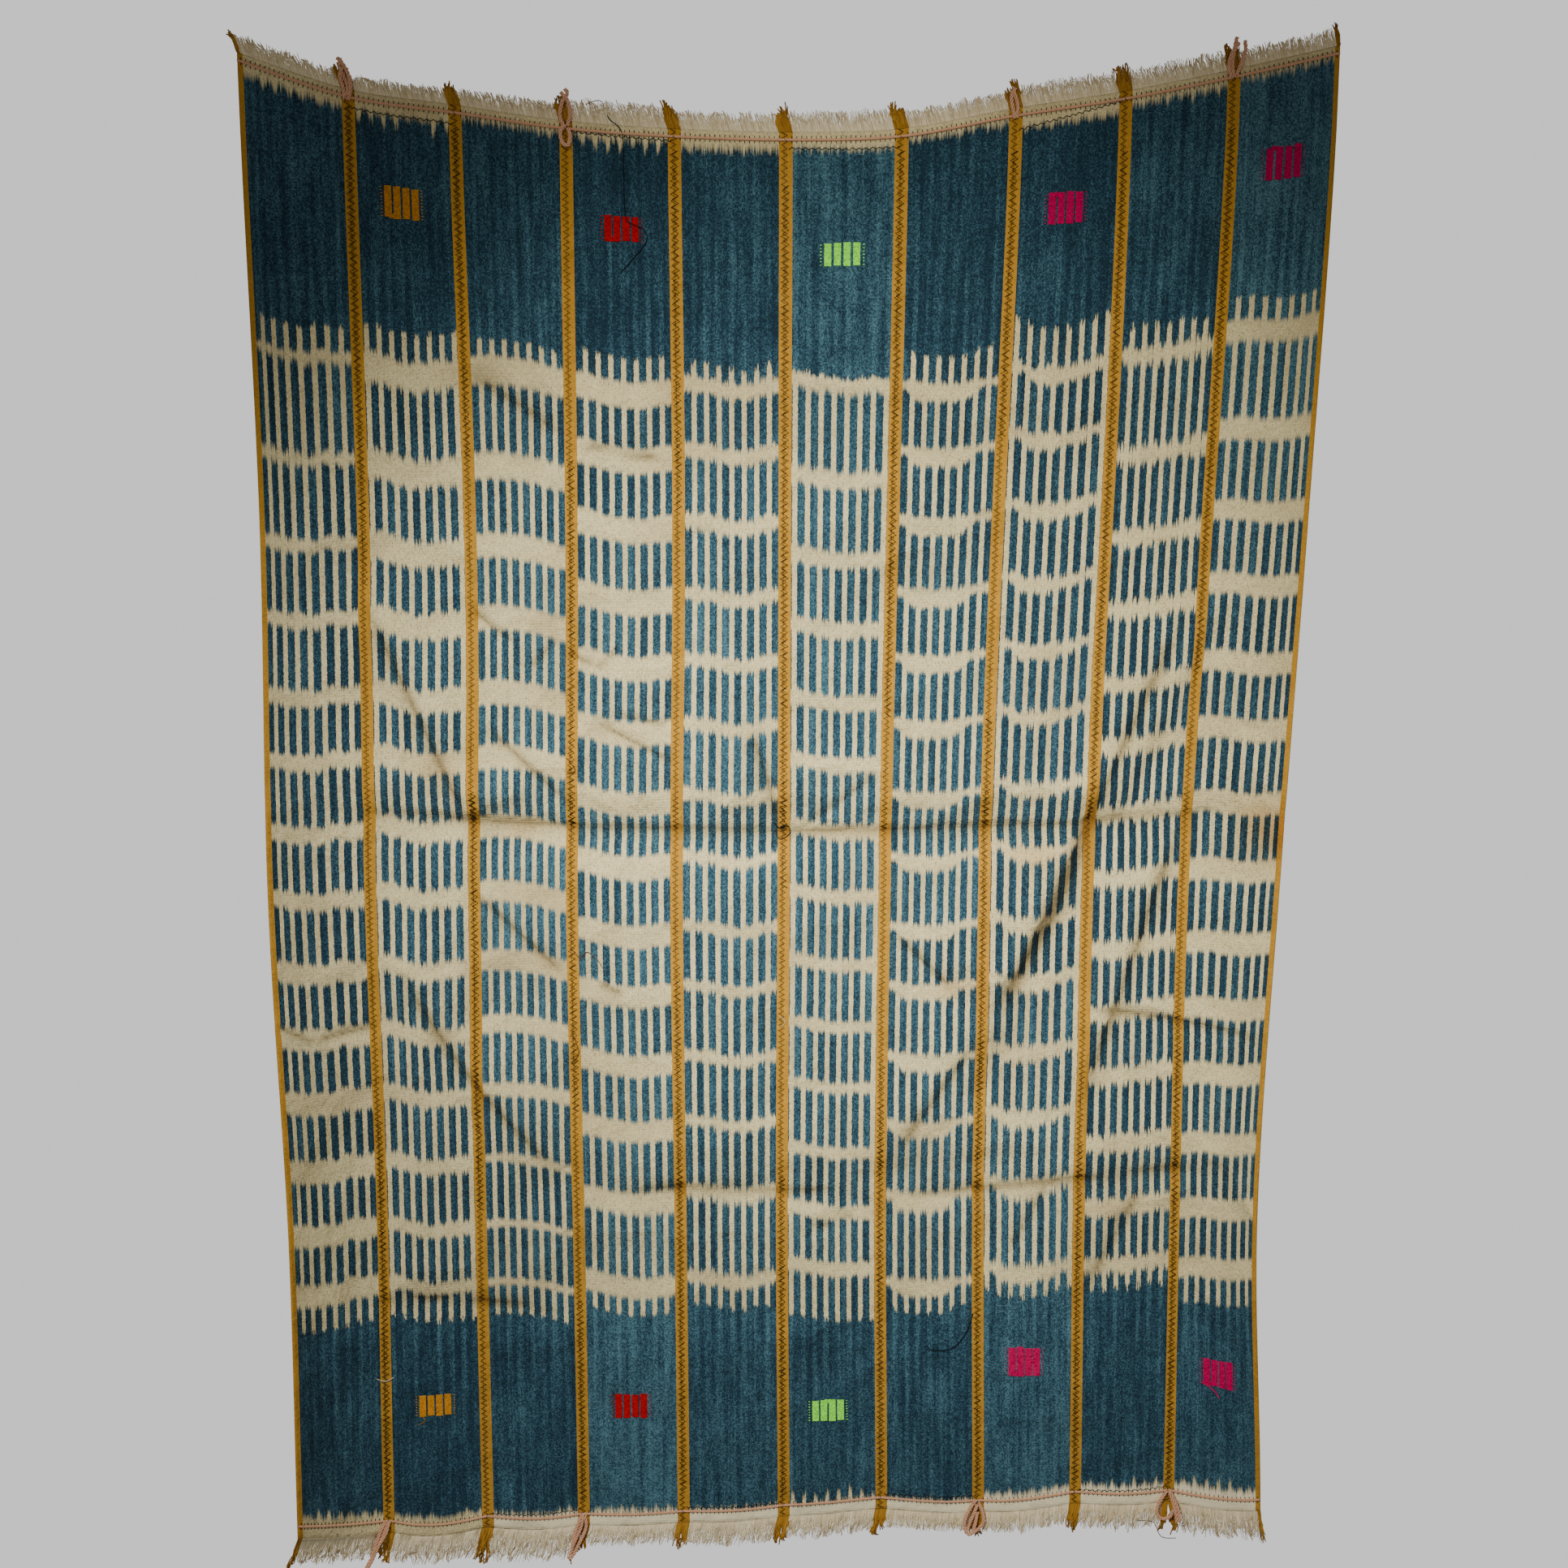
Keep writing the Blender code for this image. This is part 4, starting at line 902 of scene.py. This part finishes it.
# Undyed warp, opened into single threads: matt, bright and each one a little different
ends_cotton, tree, shader = new_material("frayed warp cotton", roughness=0.9, sheen=0.03)
in_gold = add(tree, "ShaderNodeAttribute", attribute_name="gold").outputs["Fac"]
chance = add(tree, "ShaderNodeAttribute", attribute_name="draw").outputs["Fac"]
pale = add(tree, "ShaderNodeMix", {0: chance, 6: colour(FRINGE_CREAM), 7: colour(FRINGE_SHADED)},
           data_type="RGBA")
rich = add(tree, "ShaderNodeMix", {0: chance, 6: colour(GOLD), 7: colour(GOLD_DEEP)}, data_type="RGBA")
in_gold = add(tree, "ShaderNodeMath", {0: in_gold, 1: 0.5}, operation="GREATER_THAN")
tone = add(tree, "ShaderNodeMix", {0: in_gold, 6: pale.outputs[2], 7: rich.outputs[2]}, data_type="RGBA")
tree.links.new(tone.outputs[2], shader.inputs["Base Color"])

# the fringe: a thread from every step of the edge, leaning and curling by chance
frayed, given = new_tree("frayed ends", {
    "Threads": "Int", "Curl": "Float", "Sway": "Float", "Thickness": "Float", "Seed": "Int",
    "Material": "Material"})
line = add(frayed, "GeometryNodeMeshToCurve", {0: given["Path"]})
line = add(frayed, "GeometryNodeResampleCurve", {"Curve": line, "Count": given["Threads"]}, mode="COUNT")
chance = add(frayed, "FunctionNodeRandomValue", {2: 0.0, 3: 1.0, "Seed": given["Seed"]},
             data_type="FLOAT")
line = add(frayed, "GeometryNodeStoreNamedAttribute",
           {"Geometry": line, "Name": "draw", "Value": chance.outputs[1]}, data_type="FLOAT", domain="POINT")
grow = add(frayed, "GeometryNodeInputNamedAttribute", {"Name": "grow"}, data_type="FLOAT_VECTOR")
facing = add(frayed, "FunctionNodeAlignRotationToVector", {"Vector": grow}, axis="Z")
long = add(frayed, "GeometryNodeInputNamedAttribute", {"Name": "reach"}, data_type="FLOAT")
vary = add(frayed, "ShaderNodeMath", {0: chance.outputs[1], 1: 0.45, 2: 0.70}, operation="MULTIPLY_ADD")
long = add(frayed, "ShaderNodeMath", {0: long, 1: vary}, operation="MULTIPLY")
size = add(frayed, "ShaderNodeCombineXYZ", {0: 1.0, 1: 1.0, 2: long})
one = add(frayed, "GeometryNodeCurvePrimitiveLine", {"Start": (0, 0, 0), "End": (0, 0, 1)})
one = add(frayed, "GeometryNodeResampleCurve", {"Curve": one, "Count": 6}, mode="COUNT")
line = add(frayed, "GeometryNodeInstanceOnPoints",
           {"Points": line, "Instance": one, "Rotation": facing, "Scale": size})
line = add(frayed, "GeometryNodeRealizeInstances", {0: line})
along = add(frayed, "GeometryNodeSplineParameter").outputs["Factor"]
chance = add(frayed, "GeometryNodeInputNamedAttribute", {"Name": "draw"}, data_type="FLOAT")
long = add(frayed, "GeometryNodeInputNamedAttribute", {"Name": "reach"}, data_type="FLOAT")
seed = add(frayed, "ShaderNodeMath", {0: chance, 1: 37.0}, operation="MULTIPLY")
where = add(frayed, "GeometryNodeInputPosition")
swirl = add(frayed, "ShaderNodeTexNoise", {"Vector": where, "W": seed, "Scale": 90.0, "Detail": 1.0},
            noise_dimensions="4D").outputs["Color"]
swirl = add(frayed, "ShaderNodeVectorMath", {0: swirl, 1: (0.5, 0.5, 0.5)}, operation="SUBTRACT")
clump = add(frayed, "ShaderNodeTexNoise", {"Vector": where, "Scale": 130.0, "Detail": 1.0}).outputs["Color"]
clump = add(frayed, "ShaderNodeVectorMath", {0: clump, 1: (0.5, 0.5, 0.5)}, operation="SUBTRACT")
grown = add(frayed, "ShaderNodeMath", {0: along, 1: 1.5}, operation="POWER")
grown = add(frayed, "ShaderNodeMath", {0: grown, 1: long}, operation="MULTIPLY")
curl = add(frayed, "ShaderNodeMath", {0: grown, 1: given["Curl"]}, operation="MULTIPLY")
sway = add(frayed, "ShaderNodeMath", {0: grown, 1: given["Sway"]}, operation="MULTIPLY")
swirl = add(frayed, "ShaderNodeVectorMath", {0: swirl, "Scale": curl}, operation="SCALE")
clump = add(frayed, "ShaderNodeVectorMath", {0: clump, "Scale": sway}, operation="SCALE")
shift = add(frayed, "ShaderNodeVectorMath", {0: swirl, 1: clump}, operation="ADD")
line = add(frayed, "GeometryNodeSetPosition", {"Geometry": line, "Offset": shift})
stout = add(frayed, "GeometryNodeInputNamedAttribute", {"Name": "gold"}, data_type="FLOAT")
stout = add(frayed, "ShaderNodeMath", {0: stout, 1: 1.1, 2: 1.0}, operation="MULTIPLY_ADD")
end_tree(frayed, line, given, 3, Scale=stout)

fringes = {index: [] for index in range(len(DYES))}
for index, (top_length, bottom_length, lean) in enumerate(FRINGES):
    for at_top in (True, False):
        end = "top" if at_top else "bottom"
        edge, upwards = (top_height, 1) if at_top else (bottom_height, -1)
        share = np.linspace(0.002, 0.998, 101)
        in_gold = (share * STRIP_WIDE < LEFT_SELVEDGE) | ((1 - share) * STRIP_WIDE < RIGHT_SELVEDGE)
        length = top_length if at_top else bottom_length
        height = edge(np.minimum(index + share, index + 0.9999)) - ROOT * upwards
        points = cloth_point(index + share, height, lift=0.0006)
        grow = np.zeros_like(points)
        grow[:, 0] = -0.3 if at_top else lean
        grow[:, 1] = -0.08
        grow[:, 2] = upwards
        extra = {"grow": grow, "reach": ROOT + length + WISP_EXTRA * in_gold, "gold": in_gold * 1.0}
        mesh = path_mesh(f"warp_ends_{end}_{index + 1:02d}", [(points, extra)])
        piece = run_tree(mesh, frayed, {
            "Threads": FRINGE_THREADS, "Curl": 0.35 if at_top else 0.25, "Sway": 0.6,
            "Thickness": FRINGE_THICK, "Seed": index + 20 * at_top,
            "Material": ends_cotton})
        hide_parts(f"fringe_{end}_{index + 1:02d}")
        fringes[index].append(piece)

# The loose ends of hem yarn: where the yarn runs off at a seam, its ends were left hanging
# in loops and twisted strands of the same peach cotton.

# A strand's bends, in millimetres: across from its seam, up from the hem yarn, and forwards
YARN_ENDS = {
    "yarn_tail_top_1": (
        ((0, 0, 2), (1, 9, 3), (-2, 18, 4), (-5, 27, 5), (-4, 33, 6)),
        ((1, -3, 2), (4, 8, 4), (2, 20, 5), (-3, 29, 6), (-7, 33, 7)),
        ((-2, -2, 2), (-3, 8, 3), (-5, 17, 5), (-3, 25, 7)),
    ),
    "yarn_tail_top_3": (
        ((0, 0, 2), (-4, 10, 4), (-2, 22, 5), (3, 30, 6), (1, 34, 7)),
        ((2, 2, 2), (5, 12, 4), (3, 24, 6), (-3, 31, 7)),
        ((-1, 3, 2), (-4, -4, 4), (-2, -13, 5), (3, -15, 6), (5, -8, 5), (3, 0, 3)),
    ),
    "yarn_tail_top_7": (
        ((0, -2, 2), (-3, 8, 4), (-4, 17, 5), (-1, 24, 6)),
        ((1, -2, 2), (2, 8, 3), (-1, 18, 5), (-3, 23, 7)),
    ),
    "yarn_tail_top_9": (
        ((0, 0, 2), (-2, 11, 4), (-1, 23, 5), (1, 34, 6)),
        ((2, 1, 2), (6, 12, 4), (9, 22, 6), (8, 31, 7)),
        ((-2, -1, 2), (-5, 9, 4), (-3, 20, 6), (3, 29, 7)),
    ),
    "yarn_tail_bottom_1": (
        ((0, 0, 2), (-4, -11, 4), (-10, -24, 6), (-17, -37, 7), (-21, -44, 7)),
        ((1, -1, 2), (-2, -12, 5), (-9, -23, 7), (-15, -36, 8), (-19, -43, 8)),
        ((-2, 1, 2), (-7, -9, 4), (-11, -20, 6), (-14, -30, 8)),
    ),
    "yarn_tail_bottom_3": (
        ((0, 0, 2), (-2, -13, 4), (-8, -27, 6), (-13, -41, 7), (-15, -48, 7)),
        ((2, -1, 2), (3, -14, 4), (-3, -28, 7), (-10, -42, 8), (-14, -47, 8)),
        ((-1, 1, 2), (-5, -10, 4), (-9, -22, 6), (-11, -34, 8)),
    ),
    "yarn_tail_bottom_7": (
        ((-1, 1, 2), (-8, -9, 4), (-13, -22, 6), (-12, -33, 7), (-7, -35, 8), (-3, -26, 7), (0, -12, 4)),
        ((1, -2, 2), (5, -11, 4), (6, -21, 6), (1, -29, 7), (-7, -34, 8)),
        ((0, -4, 2), (-4, -15, 4), (-9, -27, 6), (-10, -32, 7)),
    ),
    "yarn_tail_bottom_9": (
        ((0, 1, 2), (4, -10, 4), (7, -22, 6), (9, -33, 7)),
        ((1, 0, 2), (6, -9, 4), (10, -20, 6), (11, -31, 8)),
        ((-1, 0, 2), (-9, -12, 4), (-12, -22, 6), (-7, -29, 7), (1, -27, 7), (5, -19, 6)),
    ),
}



def free_line(x, z, forwards):
    """A thread's points in front of the cloth, with the directions across it and forwards."""
    points = np.stack([x, depth(x, z) - forwards, z], -1)
    out = np.tile([0.0, -1.0, 0.0], (len(points), 1))
    side = np.cross(out, np.gradient(points, axis=0))
    side /= np.linalg.norm(side, axis=1)[:, None]
    return points, {"side": side, "out": out}


for name, strands in YARN_ENDS.items():
    seam, at_top = int(name[-1]), "_top_" in name
    hem = float(top_height(seam)) - HEM_TOP if at_top else float(bottom_height(seam)) + HEM_BOTTOM
    start = cloth_point(np.array([float(seam)]), np.array([hem]))[0]
    lines = []
    for bends in strands:
        bends = 0.001 * np.array(bends, float)
        along = np.linspace(0, len(bends) - 1, 30)
        x, z, forwards = (smooth(bends[:, axis], along) for axis in range(3))
        lines.append(free_line(start[0] + x, start[2] + z, forwards))
    piece = run_tree(path_mesh(f"loose_{name[5:]}", lines), twisted, {
        "Step": 0.0012, "Plies": 3, "Spread": 0.0011, "Twist": 0.011, "Lift": 0.0,
        "Thickness": 0.0009, "Material": yarn_cotton})
    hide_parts(name)

# The loose threads: sewing thread and weft that came loose and lie on the cloth's front. A
# long dark one hangs at the top of the fourth strip and a dark curl lies near the bottom; the
# rest are short ends.

# What it is, how thick, and its bends: across and up, in millimetres
LOOSE_THREADS = (
    ("dark", 0.00042, ((-181, 21), (-167, 24), (-160, 9), (-148, -4), (-147, -37), (-146, -77),
                       (-139, -85), (-129, -90), (-128, -102), (-151, -128))),
    ("dark", 0.00045, ((146, -1200), (153, -1205), (172, -1202), (186, -1185), (193, -1163))),
    ("dark", 0.00042, ((362, -1384), (381, -1385), (390, -1401), (405, -1402))),
    ("dark", 0.00040, ((-10, -655), (-4, -662), (3, -658), (6, -666), (-3, -672), (-8, -668))),
    ("brown", 0.00035, ((-210, -780), (-202, -789), (-195, -783), (-184, -793), (-180, -800))),
    ("brown", 0.00035, ((-212, -866), (-205, -886), (-213, -897))),
    ("brown", 0.00035, ((-212, -588), (-204, -600), (-212, -603))),
    ("pale", 0.00055, ((-413, -1222), (-405, -1226), (-397, -1223))),
    ("pale", 0.00030, ((-5, -850), (1, -856), (-3, -862))),
    ("magenta", 0.00060, ((424, -1226), (430, -1229), (437, -1234), (441, -1240))),
    ("gold", 0.00030, ((-372, -1266), (-367, -1272), (-374, -1277))),
)
THREAD_COLOURS = {
    "dark": 0x10161B, "brown": 0x5A3A1E, "pale": 0xC8B896, "magenta": 0xC80052, "gold": 0xB07A1C}
LOOSE_FORWARDS = 0.0015

# Plain spun cotton: matt and of one colour
for kind, value in THREAD_COLOURS.items():
    spun, tree, shader = new_material(f"loose {kind} thread", roughness=0.85)
    shader.inputs["Base Color"].default_value = colour(value)
    for number, (name, thick, bends) in enumerate(LOOSE_THREADS):
        if name != kind:
            continue
        bends = 0.001 * np.array(bends, float)
        along = np.linspace(0, len(bends) - 1, 8 * len(bends))
        x, z = smooth(bends[:, 0], along), smooth(bends[:, 1], along)
        line = free_line(x, z, LOOSE_FORWARDS)
        run_tree(path_mesh(f"loose_thread_{number + 1:02d}", [line]), twisted, {
            "Step": 0.0012, "Plies": 1, "Spread": 0.0, "Twist": 1.0, "Lift": 0.0002,
            "Thickness": thick, "Material": spun})

# The stage: a pale floor well below the cloth and pale air around it, a soft lamp from above
# in front for the whole cloth, a nearer one for its lower half, and a camera at the height of
# its upper part, pitched a little down.

BACKDROP = 0xC1C1C1
BACKDROP_GLOW, FLOOR_HEIGHT, ROOM_RADIUS = 1.64, -2.6, 40.0
ROOM_LIGHT = (0.30, 0.30, 0.31, 1.0)
LAMP_RADIUS = 0.10
CAMERA_AT, CAMERA_PITCH, LENS_MM = (0.0, -2.048, -0.247), 80.0, 49.6

world = bpy.data.worlds.new("dim room")
world.use_nodes = True
world.node_tree.nodes["Background"].inputs["Color"].default_value = ROOM_LIGHT
world.node_tree.nodes["Background"].inputs["Strength"].default_value = 1.0
bpy.context.scene.world = world

# Pale paper that glows evenly, so that the cloth's edge stands clear of it
paper, tree, shader = new_material("pale backdrop paper", roughness=1.0)
shader.inputs["Base Color"].default_value = (0.0, 0.0, 0.0, 1.0)
shader.inputs["Specular IOR Level"].default_value = 0.0
shader.inputs["Emission Color"].default_value = colour(BACKDROP)
shader.inputs["Emission Strength"].default_value = BACKDROP_GLOW
floor_mesh = bmesh.new()
bmesh.ops.create_uvsphere(floor_mesh, u_segments=64, v_segments=32, radius=ROOM_RADIUS)
for vertex in floor_mesh.verts:
    vertex.co.z = max(vertex.co.z, FLOOR_HEIGHT)
bmesh.ops.reverse_faces(floor_mesh, faces=floor_mesh.faces)
mesh = bpy.data.meshes.new("floor_and_backdrop")
floor_mesh.to_mesh(mesh)
floor_mesh.free()
mesh.materials.append(paper)
floor = bpy.data.objects.new("floor_and_backdrop", mesh)
bpy.context.scene.collection.objects.link(floor)
floor.visible_diffuse = False
floor.visible_glossy = False
floor.visible_shadow = False

# where each lamp stands, where it points, how wide it is in degrees, its power and its tint
LAMPS = {
    "far soft lamp": ((-0.30, -2.90, 1.10), (0.100, 0.0, -0.530), 21.8, 515.0, (1.0, 1.0, 1.0)),
    "near soft lamp": ((-0.80, -1.88, 0.71), (-0.045, 0.0, -0.98), 36.5, 240.0, (0.95, 0.98, 1.06)),
}
for name, (stand, aim, wide, power, tint) in LAMPS.items():
    lamp_data = bpy.data.lights.new(name, "SPOT")
    lamp_data.color = tint
    lamp_data.energy = power
    lamp_data.shadow_soft_size = LAMP_RADIUS
    lamp_data.spot_size = math.radians(wide)
    lamp_data.spot_blend = 1.0
    lamp = bpy.data.objects.new(name, lamp_data)
    lamp.location = stand
    lamp.rotation_euler = (Vector(aim) - Vector(stand)).to_track_quat("-Z", "Y").to_euler()
    bpy.context.scene.collection.objects.link(lamp)

lens = bpy.data.cameras.new("camera")
lens.sensor_width = 36.0
lens.lens = LENS_MM
camera = bpy.data.objects.new("camera", lens)
camera.location = CAMERA_AT
camera.rotation_euler = (math.radians(CAMERA_PITCH), 0.0, 0.0)
bpy.context.scene.collection.objects.link(camera)
bpy.context.scene.camera = camera
